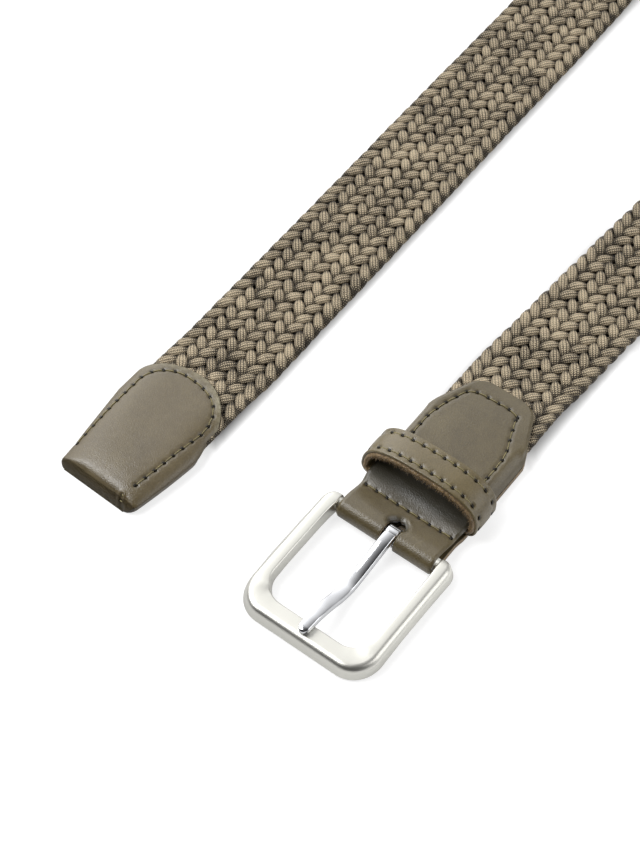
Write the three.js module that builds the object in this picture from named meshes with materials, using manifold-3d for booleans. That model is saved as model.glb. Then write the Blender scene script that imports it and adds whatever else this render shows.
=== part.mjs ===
// A stretch belt of braided elastic cord, laid down unfastened. A leather tip closes one end of the
// braid. At the other end a folded leather tab holds a prong buckle, and a stitched leather keeper
// stands over the tab. The two ends lie flat and side by side. Further back the braid turns up onto
// its edge and goes round in one loop, its face outwards.
//
// Millimetres, +Z up. The origin is on the resting surface under the middle of the tab's cross seam.
// +Y runs from the buckle along the tab towards the loop, and +X is the right-hand side of the tab.
import * as THREE from "three";
import { mergeVertices } from "three/addons/utils/BufferGeometryUtils.js";
import Module from "manifold-3d";

const wasm = await Module();
wasm.setup();

// Belt
const beltLength = 1060; // from the buckle bar to the end of the tip, along the strap
const braidWidthByTab = 33.2;
const braidWidthByTip = 34.8;
const braidThickness = 4.2;
const sewnThickness = 2.8; // the braid pressed between two layers of leather
const leather = 1.4;
const seatClearance = 0.2; // between a leather layer and what it is sewn to

// Tab, measured along Y from the cross seam
const tabWidth = 35.6;
const foldWidth = 34.4; // at the bar and the cross seam
const tabShoulder = 35.6; // full width up to here
const tabEnd = 52.9;
const tabEndWidth = 20.2;
const tabCornerReach = 4.5; // where each round corner leaves the end edge
const tabPocketStart = 5; // the two layers part here
const seamThickness = 4.9; // over both layers, pressed at the cross seam
const braidStart = 17.6;

// Keeper
const keeperStart = 5.4;
const keeperBand = 10.6; // width of the band, along the belt
const keeperThickness = 2.4;
const keeperGap = 0.3; // from the tab's right side to the keeper
const keeperSlack = 1; // by how much more it bulges out on the left
const keeperRise = 9; // from the tab's top face to the top of the arch, outside
const keeperTuck = 7.6; // length of each end sewn in between the tab's layers
const keeperBend = 2; // centre-line radius where an end turns in under the arch
const keeperRoundness = 2.8; // power of the arch's curve: 2 is an ellipse, more is squarer
const keeperLean = Math.tan(THREE.MathUtils.degToRad(11)); // the arch leans back from the buckle

// Buckle
const barRadius = 2;
const barClearance = 0.3;
const barToSeam = 9.2;
const frameGap = 0.3; // from the fold's side to the arm that is nearer
const frameSlide = 0.3; // how far the loose frame has slid to the left
const armWidth = 6.1;
const frontWidth = 7.8;
const frameHeight = 6;
const frameReach = 45.5; // from the bar's axis to the front of the frame
const armOverrun = 2; // how far the arms run on behind the bar's axis
const armRounding = 4.4; // length of the rounded end of each arm
const frameCorner = 6.4; // centre-line radius
const innerCorner = 7; // radius of the opening's two front corners
const frameSlant = 1.3; // how much narrower the top face is than the widest part
const frameRound = 0.8;

// Prong
const prongWidth = 4.2;
const prongThickness = 2.4;
const prongReach = 43.2;
const eyeWall = 1;
const prongSlotClearance = 0.6;
const prongSet = THREE.MathUtils.degToRad(1.3); // the loose prong lies a little askew
const prongOffset = 1; // to the right of the tab's middle
const slotBehindBar = 5.4;

// Tip
const tipLength = 49.6;
const tipWidth = 36.8;
const tipEndWidth = 28.6;
const tipTaper = 31; // the taper runs from the end up to here
const tipThickness = 6.4;
const tipArch = 15; // height of the arched mouth
const tipSolidEnd = 14; // the braid stops this far from the end

// Route of the belt, in plan. Turns to the left are positive.
const tabTurn = -THREE.MathUtils.degToRad(4.2);
const tabTurnLength = 16;
const tipTurn = -THREE.MathUtils.degToRad(2);
const tipTurnLength = 16;
const strandGap = 90.5; // between the two strands' centre lines where the loop starts
const strandSpread = THREE.MathUtils.degToRad(4.2); // angle between the two strands
const bucklesideRun = 158; // straight, from the bend behind the tab to the loop
const tipsideRun = 212; // straight, from the loop to the bend before the tip
const flare = THREE.MathUtils.degToRad(12);
const flareRadius = 150;
const bucklesideTwist = { start: 138, length: 175 }; // along the belt from the cross seam
const tipsideTwist = { start: 258, length: 150 }; // along the belt from the end of the tip
const stationSpacing = 8;
const rampLength = 16; // over which the braid goes from its sewn to its free thickness

const leatherFinish = { color: 0x6e6750, roughness: 0.45, metalness: 0 };
const finishes = {
  braid: { color: 0x867c68, roughness: 0.9, metalness: 0 },
  tip_cap: leatherFinish,
  buckle_tab: leatherFinish,
  keeper_loop: leatherFinish,
  buckle_frame: { color: 0xc4c4bd, roughness: 0.38, metalness: 1 },
  prong: { color: 0xd0d0d0, roughness: 0.12, metalness: 1 },
};

// Heights of the buckle frame, as shares of its height, along its arms from the bar to the front.
const frameProfile = [
  { along: -0.1, low: 0.2, high: 1 },
  { along: 0, low: 0.2, high: 1 },
  { along: 0.25, low: 0.3, high: 1 },
  { along: 0.55, low: 0.32, high: 1 },
  { along: 0.75, low: 0.18, high: 0.96 },
  { along: 0.88, low: 0, high: 0.89 },
  { along: 1, low: 0, high: 0.88 },
];

// Centre line of the prong: along it from the bar to its nose, and up in shares of the frame's height.
const prongProfile = [
  { along: 0, up: 0.97, width: 1 },
  { along: 0.1, up: 0.9, width: 1 },
  { along: 0.26, up: 0.64, width: 1 },
  { along: 0.38, up: 0.47, width: 1 },
  { along: 0.49, up: 0.38, width: 0.98 },
  { along: 0.6, up: 0.56, width: 0.95 },
  { along: 0.72, up: 0.93, width: 0.92 },
  { along: 0.84, up: 1.14, width: 0.9 },
  { along: 0.93, up: 1.15, width: 0.86 },
  { along: 1, up: 1.13, width: 0.8 },
];

// The tip from its end to its mouth: height in shares of its full thickness.
const tipProfile = [
  { along: 0, height: 0.24 },
  { along: 0.02, height: 0.45 },
  { along: 0.06, height: 0.7 },
  { along: 0.12, height: 0.9 },
  { along: 0.22, height: 1 },
  { along: 0.6, height: 1 },
  { along: 1.02, height: 0.93 },
];

// Sizes that follow
const foldRadius = barRadius + barClearance + leather;
const barY = -barToSeam;
const barZ = foldRadius;
const layerGap = sewnThickness + 2 * seatClearance;
const tabThickness = 2 * leather + layerGap;
const sewnMiddle = leather + layerGap / 2;
const armInside = foldWidth / 2 + frameGap + frameSlide;
const frontY = barY - frameReach;

// A table's column at a place, eased between its rows.
function fromTable(table, column, along) {
  const last = table.length - 1;
  if (along <= table[0].along) return table[0][column];
  if (along >= table[last].along) return table[last][column];
  const i = table.findIndex((row) => row.along > along);
  const share = (along - table[i - 1].along) / (table[i].along - table[i - 1].along);
  return THREE.MathUtils.lerp(table[i - 1][column], table[i][column], share);
}

function solidFrom(geometry) {
  const bare = geometry.clone();
  bare.deleteAttribute("normal");
  bare.deleteAttribute("uv");
  const merged = mergeVertices(bare, 1e-4);
  const mesh = new wasm.Mesh({
    numProp: 3,
    vertProperties: new Float32Array(merged.attributes.position.array),
    triVerts: new Uint32Array(merged.index.array),
  });
  return new wasm.Manifold(mesh);
}

function geometryFrom(solid) {
  const mesh = solid.getMesh();
  return new THREE.BufferGeometry()
    .setAttribute("position", new THREE.BufferAttribute(mesh.vertProperties, 3))
    .setIndex(new THREE.BufferAttribute(mesh.triVerts, 1));
}

// A closed skin over a row of rings, each with as many points. Each end is a fan about its middle.
function loft(rings) {
  const count = rings[0].length;
  const points = rings.flat();
  const faces = [];
  for (let ring = 0; ring < rings.length - 1; ring++) {
    for (let i = 0; i < count; i++) {
      const a = ring * count + i;
      const b = ring * count + ((i + 1) % count);
      faces.push([a, b, b + count], [a, b + count, a + count]);
    }
  }
  for (const [ring, flip] of [[0, true], [rings.length - 1, false]]) {
    const middle = points.length;
    points.push(rings[ring].reduce((sum, p) => sum.add(p), new THREE.Vector3()).divideScalar(count));
    for (let i = 0; i < count; i++) {
      const edge = [ring * count + i, ring * count + ((i + 1) % count)];
      faces.push(flip ? [edge[1], edge[0], middle] : [...edge, middle]);
    }
  }
  const volume = faces.reduce((sum, [a, b, c]) => {
    return sum + points[a].dot(new THREE.Vector3().crossVectors(points[b], points[c]));
  }, 0);
  const ordered = volume < 0 ? faces.map(([a, b, c]) => [a, c, b]) : faces;
  return new THREE.BufferGeometry()
    .setFromPoints(points)
    .setIndex(ordered.flat());
}

// An outline in the XY plane, raised from low to high.
function upright(shape, low, high, curveSegments = 6) {
  const options = { depth: high - low, bevelEnabled: false, curveSegments };
  return new THREE.ExtrudeGeometry(shape, options).translate(0, 0, low);
}

// A flat outline with round edges, as [across, up] about its middle.
function stripSection(width, thickness) {
  const radius = thickness / 2;
  const steps = 4;
  const points = [];
  for (const side of [1, -1]) {
    for (let i = 0; i <= steps; i++) {
      const angle = -Math.PI / 2 + (Math.PI * i) / steps;
      points.push([side * (width / 2 - radius + radius * Math.cos(angle)), side * radius * Math.sin(angle)]);
    }
  }
  return points;
}

// The straight and curved stretches of the belt's centre line from the cross seam to the end of the tip.
function routeStretches() {
  const halfSpread = strandSpread / 2;
  const slope = halfSpread + flare;
  const fixed = tabEnd + 1 + tabTurnLength + bucklesideRun + tipsideRun + tipTurnLength + tipLength + 2;
  const halfLoop = (beltLength - barToSeam - fixed) / 2;
  // The loop is even about the line midway between the strands, so its big arc has to end on that line.
  const offset = strandGap / 2 + flareRadius * (Math.cos(halfSpread) - Math.cos(slope));
  const turn = slope + Math.PI / 2;
  const side = (halfLoop - flareRadius * flare - (offset * turn) / Math.cos(slope))
    / (1 + Math.tan(slope) * turn);
  const loopRadius = (offset + side * Math.sin(slope)) / Math.cos(slope);
  return [
    { length: tabEnd + 1, turn: 0 },
    { length: tabTurnLength, turn: tabTurn },
    { length: bucklesideRun, turn: 0 },
    { length: flareRadius * flare, turn: -flare },
    { length: side, turn: 0 },
    { length: loopRadius * 2 * turn, turn: 2 * turn },
    { length: side, turn: 0 },
    { length: flareRadius * flare, turn: -flare },
    { length: tipsideRun, turn: 0 },
    { length: tipTurnLength, turn: tipTurn },
    { length: tipLength + 2, turn: 0 },
  ];
}

const stretches = routeStretches();
const routeLength = beltLength - barToSeam;

// Place and heading of the centre line at a distance from the cross seam. Heading 0 looks along +Y.
function routeAt(distance) {
  let [x, y, heading, left] = [0, 0, 0, distance];
  for (const { length, turn } of stretches) {
    const step = Math.min(left, length);
    const angle = (turn * step) / length;
    // A chord of an arc is shorter than the arc, and halfway between its two headings.
    const chord = angle === 0 ? step : (step * Math.sin(angle / 2)) / (angle / 2);
    x -= chord * Math.sin(heading + angle / 2);
    y += chord * Math.cos(heading + angle / 2);
    heading += angle;
    left -= step;
    if (left <= 0) break;
  }
  return { x, y, heading };
}

// How far the strap stands up on its edge, from 0 where it lies flat to a right angle in the loop.
function rollAt(distance) {
  const up = THREE.MathUtils.smoothstep(
    distance, bucklesideTwist.start, bucklesideTwist.start + bucklesideTwist.length);
  const fromTip = routeLength - distance;
  const down = THREE.MathUtils.smoothstep(
    fromTip, tipsideTwist.start, tipsideTwist.start + tipsideTwist.length);
  return (Math.PI / 2) * Math.min(up, down);
}

// 0 where the braid is sewn into leather, 1 where it is free.
function freeAt(distance) {
  const afterTab = distance - tabEnd;
  const beforeTip = routeLength - tipLength - distance;
  return THREE.MathUtils.smoothstep(Math.min(afterTab, beforeTip), 0, rampLength);
}

// Width of the room for the braid inside the tip, at a distance from the tip's end.
function tipWidthAt(fromEnd) {
  const share = Math.min(1, fromEnd / tipTaper);
  return THREE.MathUtils.lerp(tipEndWidth, tipWidth, share);
}

function braidRing(distance) {
  const { x, y, heading } = routeAt(distance);
  const roll = rollAt(distance);
  const free = freeAt(distance);
  const thickness = THREE.MathUtils.lerp(sewnThickness, braidThickness, free);
  const inTip = tipWidthAt(routeLength - distance) - 2 * (leather + seatClearance);
  const fullWidth = THREE.MathUtils.lerp(braidWidthByTab, braidWidthByTip, distance / routeLength);
  const width = Math.min(fullWidth, inTip);
  const lying = THREE.MathUtils.lerp(sewnMiddle, braidThickness / 2, free);
  const height = lying + ((fullWidth - braidThickness) / 2) * Math.sin(roll);
  const sideways = new THREE.Vector3(Math.cos(heading), Math.sin(heading), 0);
  const across = sideways.clone().multiplyScalar(Math.cos(roll)).setZ(-Math.sin(roll));
  const face = sideways.clone().multiplyScalar(Math.sin(roll)).setZ(Math.cos(roll));
  return stripSection(width, thickness).map(([u, n]) => {
    return new THREE.Vector3(x, y, height).addScaledVector(across, u).addScaledVector(face, n);
  });
}

function makeBraid() {
  const end = routeLength - tipSolidEnd;
  const steps = Math.round((end - braidStart) / stationSpacing);
  const rings = [];
  for (let i = 0; i <= steps; i++) rings.push(braidRing(braidStart + ((end - braidStart) * i) / steps));
  return loft(rings);
}

// The fold round the bar and the two layers of the tab, as a side view: X is along the belt, Y is up.
function tabSideView() {
  const shape = new THREE.Shape();
  shape.moveTo(tabEnd, 0);
  shape.lineTo(tabEnd, leather);
  shape.lineTo(tabPocketStart, leather);
  shape.lineTo(tabPocketStart, leather + layerGap);
  shape.lineTo(tabEnd, leather + layerGap);
  shape.lineTo(tabEnd, tabThickness);
  shape.lineTo(tabPocketStart, tabThickness);
  shape.lineTo(0, seamThickness);
  shape.lineTo(barY * 0.45, seamThickness + 0.5 * (2 * foldRadius - seamThickness));
  shape.absarc(barY, barZ, foldRadius, Math.PI * 0.4, Math.PI * 1.5, false);
  shape.closePath();
  const channel = new THREE.Path();
  const channelRadius = foldRadius - leather;
  channel.absarc(barY, barZ, channelRadius, Math.PI * 0.4, Math.PI * 1.6, false);
  channel.lineTo(barY * 0.35, leather + (seamThickness - 2 * leather) / 2);
  channel.closePath();
  shape.holes.push(channel);
  return shape;
}

// The tab seen from above: full width up to its shoulders, then in to a narrower end with round corners.
function tabPlan() {
  const half = tabWidth / 2;
  const endHalf = tabEndWidth / 2;
  const flat = endHalf - tabCornerReach;
  const cornerShare = tabCornerReach / Math.hypot(half - endHalf, tabEnd - tabShoulder);
  const slopeX = THREE.MathUtils.lerp(endHalf, half, cornerShare);
  const slopeY = THREE.MathUtils.lerp(tabEnd, tabShoulder, cornerShare);
  const shape = new THREE.Shape();
  shape.moveTo(-foldWidth / 2, barY - 2 * foldRadius);
  shape.lineTo(foldWidth / 2, barY - 2 * foldRadius);
  shape.lineTo(foldWidth / 2, 0);
  shape.lineTo(half, tabPocketStart);
  shape.lineTo(half, tabShoulder);
  shape.lineTo(slopeX, slopeY);
  shape.quadraticCurveTo(endHalf, tabEnd, flat, tabEnd);
  shape.lineTo(-flat, tabEnd);
  shape.quadraticCurveTo(-endHalf, tabEnd, -slopeX, slopeY);
  shape.lineTo(-half, tabShoulder);
  shape.lineTo(-half, tabPocketStart);
  shape.lineTo(-foldWidth / 2, 0);
  shape.closePath();
  return shape;
}

function makeTab() {
  const side = new THREE.ExtrudeGeometry(tabSideView(), {
    depth: tabWidth,
    bevelEnabled: false,
    curveSegments: 12,
  });
  // Stand the side view up: its X becomes the belt's Y, its Y becomes Z, its depth becomes X.
  const turned = new THREE.Matrix4().makeBasis(
    new THREE.Vector3(0, 1, 0), new THREE.Vector3(0, 0, 1), new THREE.Vector3(1, 0, 0));
  side.applyMatrix4(turned).translate(-tabWidth / 2, 0, 0);
  const half = prongWidth / 2 + prongSlotClearance;
  const slot = new THREE.Shape();
  slot.moveTo(prongOffset - half, barY - 2 * foldRadius);
  slot.lineTo(prongOffset + half, barY - 2 * foldRadius);
  slot.lineTo(prongOffset + half, barY + slotBehindBar - half);
  slot.absarc(prongOffset, barY + slotBehindBar - half, half, 0, Math.PI, false);
  slot.closePath();
  const top = 3 * foldRadius;
  return geometryFrom(
    solidFrom(side)
      .intersect(solidFrom(upright(tabPlan(), -1, top)))
      .subtract(solidFrom(upright(slot, -1, top))));
}

// The keeper's centre line across the belt, as [X, Z]: an end tucked in on each side, and the arch.
function keeperLine() {
  const side = tabWidth / 2 + keeperGap + (keeperSlack + keeperThickness) / 2;
  const foot = sewnMiddle + keeperBend;
  const rise = tabThickness + keeperRise - keeperThickness / 2 - foot;
  const half = [];
  half.push([-(side - keeperBend) + keeperTuck, sewnMiddle]);
  const bendSteps = 3;
  for (let i = 0; i <= bendSteps; i++) {
    const angle = (Math.PI / 2) * (i / bendSteps);
    half.push([-(side - keeperBend) - keeperBend * Math.sin(angle), foot - keeperBend * Math.cos(angle)]);
  }
  const archSteps = 9;
  for (let i = 1; i <= archSteps; i++) {
    const angle = (Math.PI / 2) * (i / archSteps);
    half.push([
      -side * Math.cos(angle) ** (2 / keeperRoundness),
      foot + rise * Math.sin(angle) ** (2 / keeperRoundness),
    ]);
  }
  const other = half.slice(0, -1).map(([x, z]) => [-x, z]);
  return [...half, ...other.reverse()].map(([x, z]) => [x - keeperSlack / 2, z]);
}

function makeKeeper() {
  const line = keeperLine().map(([x, z]) => new THREE.Vector2(x, z));
  const out = [];
  const inside = [];
  line.forEach((point, i) => {
    const before = line[Math.max(0, i - 1)];
    const after = line[Math.min(line.length - 1, i + 1)];
    const along = after.clone().sub(before).normalize();
    const away = new THREE.Vector2(-along.y, along.x).multiplyScalar(keeperThickness / 2);
    out.push(point.clone().add(away));
    inside.push(point.clone().sub(away));
  });
  const band = new THREE.ExtrudeGeometry(new THREE.Shape([...out, ...inside.reverse()]), {
    depth: keeperBand,
    bevelEnabled: false,
  });
  // The outline's X stays X, its Y becomes Z, and the band's width runs along Y, leaning back as it rises.
  const placed = new THREE.Matrix4().makeBasis(
    new THREE.Vector3(1, 0, 0), new THREE.Vector3(0, keeperLean, 1), new THREE.Vector3(0, -1, 0));
  const footShift = -keeperLean * sewnMiddle;
  band.applyMatrix4(placed).translate(0, keeperStart + keeperBand + footShift, 0);
  return band;
}

// The frame's centre line in plan, from behind the bar down one arm, across the front and back.
function frameStations() {
  const armX = armInside + armWidth / 2;
  const middleY = frontY + frontWidth / 2;
  const backY = barY + armOverrun;
  const stations = [];
  const roundSteps = 4;
  for (let i = 0; i < roundSteps; i++) {
    // Only the outer side of an arm's end is rounded off: its inner side stays straight.
    const share = i / roundSteps;
    const width = armWidth * THREE.MathUtils.lerp(0.4, 1, Math.sqrt(1 - (1 - share) ** 2));
    const swell = THREE.MathUtils.lerp(0.7, 1, Math.min(1, 2 * share));
    stations.push({ x: -armInside - width / 2, y: backY - armRounding * share, heading: 0, width, swell });
  }
  const armSteps = 11;
  for (let i = 0; i <= armSteps; i++) {
    const y = THREE.MathUtils.lerp(backY - armRounding, middleY + frameCorner, i / armSteps);
    stations.push({ x: -armX, y, heading: 0, width: armWidth, swell: 1 });
  }
  const cornerSteps = 6;
  for (let i = 1; i <= cornerSteps; i++) {
    const angle = (Math.PI / 2) * (i / cornerSteps);
    stations.push({
      x: -armX + frameCorner * (1 - Math.cos(angle)),
      y: middleY + frameCorner * (1 - Math.sin(angle)),
      heading: angle,
      width: THREE.MathUtils.lerp(armWidth, frontWidth, i / cornerSteps),
      swell: 1,
    });
  }
  const other = stations.map((s) => ({ ...s, x: -s.x, heading: Math.PI - s.heading })).reverse();
  return [...stations, ...other];
}

// A slant-sided section with soft corners: [across, up], across in mm and up from low to high.
function frameSection(width, low, high) {
  const half = width / 2;
  const top = half - frameSlant / 2;
  const right = [
    [half * 0.55, low],
    [half - frameRound * 0.4, low + frameRound * 0.3],
    [half, low + frameRound],
    [top, high - frameRound],
    [top - frameRound * 0.5, high - frameRound * 0.2],
    [top * 0.45, high],
  ];
  return [...right, ...right.map(([u, z]) => [-u, z]).reverse()];
}

// How much further in a section reaches, so that the opening's front corners are arcs of innerCorner.
function cornerFill(x, y, heading, width) {
  const dx = innerCorner - armInside + Math.abs(x);
  const dy = innerCorner + barY - frameReach + frontWidth - y;
  if (dx <= 0 || dy <= 0) return 0;
  const along = Math.abs(Math.cos(heading)) * dx + Math.sin(heading) * dy;
  const root = Math.sqrt(Math.max(along * along - dx * dx - dy * dy + innerCorner * innerCorner, 0));
  return Math.max(along - root - width / 2, 0);
}

function frameRing({ x, y, heading, width, swell }) {
  const along = (barY - y) / frameReach;
  const low = frameHeight * fromTable(frameProfile, "low", along);
  const high = frameHeight * fromTable(frameProfile, "high", along);
  const middle = (low + high) / 2;
  const across = new THREE.Vector3(Math.cos(heading), Math.sin(heading), 0);
  const fill = cornerFill(x, y, heading, width);
  return frameSection(width, low, high).map(([u, z]) => {
    return new THREE.Vector3(x, y, middle + (z - middle) * swell).addScaledVector(across, u > 0 ? u + fill : u);
  });
}

// A round bar along X at the buckle's axis.
function roundAlongX(radius, width, segments) {
  return new THREE.CylinderGeometry(radius, radius, width, segments).rotateZ(Math.PI / 2);
}

function makeFrame() {
  const frame = solidFrom(loft(frameStations().map(frameRing)));
  const bar = roundAlongX(barRadius, 2 * armInside + armWidth, 20).translate(0, barY, barZ);
  return geometryFrom(frame.add(solidFrom(bar))).translate(-frameSlide, 0, 0);
}

// The prong, about the bar's axis: an eye round the bar, and a shank that dips and rises to its nose.
function makeProng() {
  const bore = barRadius + barClearance;
  const shankSteps = 22;
  const noseSteps = 4;
  const noseStart = 1 - prongWidth / 2 / prongReach;
  const stations = [];
  for (let i = 0; i <= shankSteps; i++) stations.push({ along: (noseStart * i) / shankSteps, full: 1 });
  for (let i = 1; i <= noseSteps; i++) {
    const angle = (Math.PI / 2) * (i / (noseSteps + 0.5));
    stations.push({ along: noseStart + (1 - noseStart) * Math.sin(angle), full: Math.cos(angle) });
  }
  const section = [
    [0.5, 1], [0.86, 0.62], [1, 0], [0.86, -0.7], [0.6, -1],
    [-0.6, -1], [-0.86, -0.7], [-1, 0], [-0.86, 0.62], [-0.5, 1],
  ];
  const rings = stations.map(({ along, full }) => {
    const half = (prongWidth / 2) * fromTable(prongProfile, "width", along) * full;
    const up = frameHeight * fromTable(prongProfile, "up", along) - barZ;
    const thick = (prongThickness / 2) * THREE.MathUtils.lerp(0.4, 1, full);
    return section.map(([u, n]) => new THREE.Vector3(u * half, -along * prongReach, up + n * thick));
  });
  const eye = solidFrom(roundAlongX(bore + eyeWall, prongWidth, 24));
  const hole = solidFrom(roundAlongX(bore, 2 * prongWidth, 24));
  return geometryFrom(solidFrom(loft(rings)).add(eye).subtract(hole));
}

// The leather tip about its own end: Y runs from the end to the mouth, Z up.
function tipRing(fromEnd) {
  const width = tipWidthAt(Math.min(fromEnd, tipLength));
  const height = tipThickness * fromTable(tipProfile, "height", fromEnd / tipLength);
  const edge = Math.min(height, tabThickness) * 0.5;
  const steps = 8;
  const points = [];
  for (let i = 0; i <= steps; i++) {
    const angle = (Math.PI * i) / steps;
    const across = Math.sign(Math.cos(angle)) * Math.abs(Math.cos(angle)) ** 0.35;
    points.push([across * (width / 2), edge + (height - edge) * Math.sin(angle) ** 0.8]);
  }
  for (let i = 1; i < steps; i++) {
    const angle = Math.PI + (Math.PI * i) / steps;
    const across = Math.sign(Math.cos(angle)) * Math.abs(Math.cos(angle)) ** 0.35;
    points.push([across * (width / 2), edge - edge * Math.abs(Math.sin(angle)) ** 0.8]);
  }
  return points.map(([u, z]) => new THREE.Vector3(u, fromEnd, z));
}

function tipPlan() {
  const shape = new THREE.Shape();
  const half = tipWidth / 2 + 1;
  const archStart = tipLength - tipArch;
  shape.moveTo(-half, -1);
  shape.lineTo(half, -1);
  shape.lineTo(half, archStart);
  shape.absellipse(0, archStart, half, tipArch, 0, Math.PI, false, 0);
  shape.closePath();
  return shape;
}

function makeTip() {
  const rings = tipProfile.slice(0, -2).map((row) => tipRing(row.along * tipLength));
  for (const fromEnd of [tipTaper, tipLength * 0.8, tipLength + 2]) rings.push(tipRing(fromEnd));
  const pocketRings = [tipSolidEnd - seatClearance, tipTaper, tipLength + 4].map((fromEnd) => {
    const width = tipWidthAt(fromEnd) - 2 * leather;
    return stripSection(width, layerGap).map(([u, z]) => new THREE.Vector3(u, fromEnd, sewnMiddle + z));
  });
  return geometryFrom(
    solidFrom(loft(rings))
      .intersect(solidFrom(upright(tipPlan(), -1, 2 * tipThickness, 10)))
      .subtract(solidFrom(loft(pocketRings))));
}

function named(name, geometry) {
  const mesh = new THREE.Mesh(geometry, new THREE.MeshStandardMaterial(finishes[name]));
  mesh.name = name;
  return mesh;
}

const belt = new THREE.Group();
belt.add(named("braid", makeBraid()));
belt.add(named("buckle_tab", makeTab()));
belt.add(named("keeper_loop", makeKeeper()));
belt.add(named("buckle_frame", makeFrame()));

const prong = named("prong", makeProng());
prong.position.set(prongOffset, barY, barZ);
prong.rotation.z = -prongSet;
belt.add(prong);

const tip = named("tip_cap", makeTip());
const end = routeAt(routeLength);
tip.position.set(end.x, end.y, 0);
tip.rotation.z = end.heading + Math.PI;
belt.add(tip);

export default belt;
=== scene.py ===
# %% [markdown]
# # A braided belt, dressed for the camera
#
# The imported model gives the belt's size and place: a braided strap that lies on a table, with a
# leather tab, a keeper loop and a prong buckle at one end and a leather cap at the other. This
# lesson puts the finish on it: real cords instead of a plain band, leather with its stitches, and
# two kinds of nickel. Every new piece is a surface worked out with numpy, in millimetres, in the
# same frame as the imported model, so nothing has to be fitted afterwards.

import bpy
import numpy as np
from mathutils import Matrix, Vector


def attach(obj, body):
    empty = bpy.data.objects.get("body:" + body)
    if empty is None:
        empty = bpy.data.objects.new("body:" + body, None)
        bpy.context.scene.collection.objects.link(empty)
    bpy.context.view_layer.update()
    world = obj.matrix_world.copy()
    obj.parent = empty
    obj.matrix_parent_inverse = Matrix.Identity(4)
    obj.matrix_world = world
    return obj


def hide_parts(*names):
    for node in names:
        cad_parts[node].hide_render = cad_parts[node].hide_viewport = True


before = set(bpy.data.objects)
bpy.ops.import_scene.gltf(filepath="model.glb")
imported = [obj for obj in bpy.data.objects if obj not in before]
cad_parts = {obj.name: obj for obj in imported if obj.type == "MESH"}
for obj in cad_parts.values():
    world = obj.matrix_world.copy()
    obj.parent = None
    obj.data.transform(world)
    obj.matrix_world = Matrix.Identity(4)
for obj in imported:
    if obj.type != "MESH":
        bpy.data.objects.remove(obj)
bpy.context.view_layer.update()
print("nodes:", sorted(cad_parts))

# %% [markdown]
# ## Camera
#
# The camera comes first, because it decides how much detail each piece needs. The photograph was
# taken from close by with a long lens, looking down at 56 degrees, so the belt lies diagonally
# across a tall frame. The lens is worked out for a picture of 640 by 853 pixels.

# %% Camera at the photograph's angle
MM = 0.001
PICTURE_HEIGHT = 853
FOCAL_PIXELS = 2150


def add_camera(place, target):
    """A camera at place, looking at target, both in mm; lens = focal pixels / height * sensor."""
    data = bpy.data.cameras.new("photo_camera")
    data.sensor_fit = "VERTICAL"
    data.sensor_height = 36.0
    data.lens = FOCAL_PIXELS / PICTURE_HEIGHT * data.sensor_height
    data.clip_start = 0.01
    data.clip_end = 20.0
    camera = bpy.data.objects.new("photo_camera", data)
    bpy.context.scene.collection.objects.link(camera)
    look = Vector(target) - Vector(place)
    camera.location = Vector(place) * MM
    camera.rotation_euler = look.to_track_quat("-Z", "Y").to_euler()
    bpy.context.scene.camera = camera
    return camera


camera = add_camera((181.95, -283.14, 547.17), (-40.96, 11.01, 0.0))
print("lens in mm:", round(camera.data.lens, 2))

# %% [markdown]
# ## Helpers
#
# Three kinds of shape are enough for the whole belt. A tube is a closed section carried along a
# line, for cords, thread and metal. A sheet is a grid of points that later gets a thickness, for
# leather. Both go into a mesh as whole arrays, which takes a moment even for half a million faces.

# %% Small sums that every piece uses
def mix(a, b, share):
    """a + (b - a) * share."""
    return a + (b - a) * share


def smoothstep(value, low, high):
    """0 below low, 1 above high, and t*t*(3 - 2t) between."""
    t = np.clip((value - low) / (high - low), 0.0, 1.0)
    return t * t * (3 - 2 * t)


def unit(vectors):
    """Each vector divided by its length."""
    return vectors / np.maximum(np.linalg.norm(vectors, axis=-1, keepdims=True), 1e-12)


def through(table, at, soft=0.0):
    """A smooth curve through a table of (place, value): straight pieces, averaged over +-soft."""
    places, values = np.array(table, float).T
    if soft == 0:
        return np.interp(at, places, values)
    shifts = np.linspace(-soft, soft, 9)
    weights = np.cos(np.linspace(-1.2, 1.2, 9))
    each = [w * np.interp(at + s, places, values) for s, w in zip(shifts, weights)]
    return sum(each) / weights.sum()


def wander(positions, step, amount, seed):
    """Soft seeded noise along a line: random values every step, joined by smooth curves."""
    first = np.floor(positions.min() / step) - 1
    count = int(np.ceil(positions.max() / step) - first) + 3
    values = np.random.default_rng(seed).uniform(-amount, amount, count)
    place = positions / step - first
    cell = np.floor(place).astype(int)
    return mix(values[cell], values[cell + 1], smoothstep(place - cell, 0, 1))


# %% Put arrays into a mesh
def signed_volume(points, faces):
    """Six times the volume inside the faces: the sum of a . (b x c) over their triangles."""
    total = 0.0
    for group in faces:
        for k in range(1, group.shape[1] - 1):
            a, b, c = points[group[:, 0]], points[group[:, k]], points[group[:, k + 1]]
            total += np.einsum("ij,ij->", a, np.cross(b, c))
    return total


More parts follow.
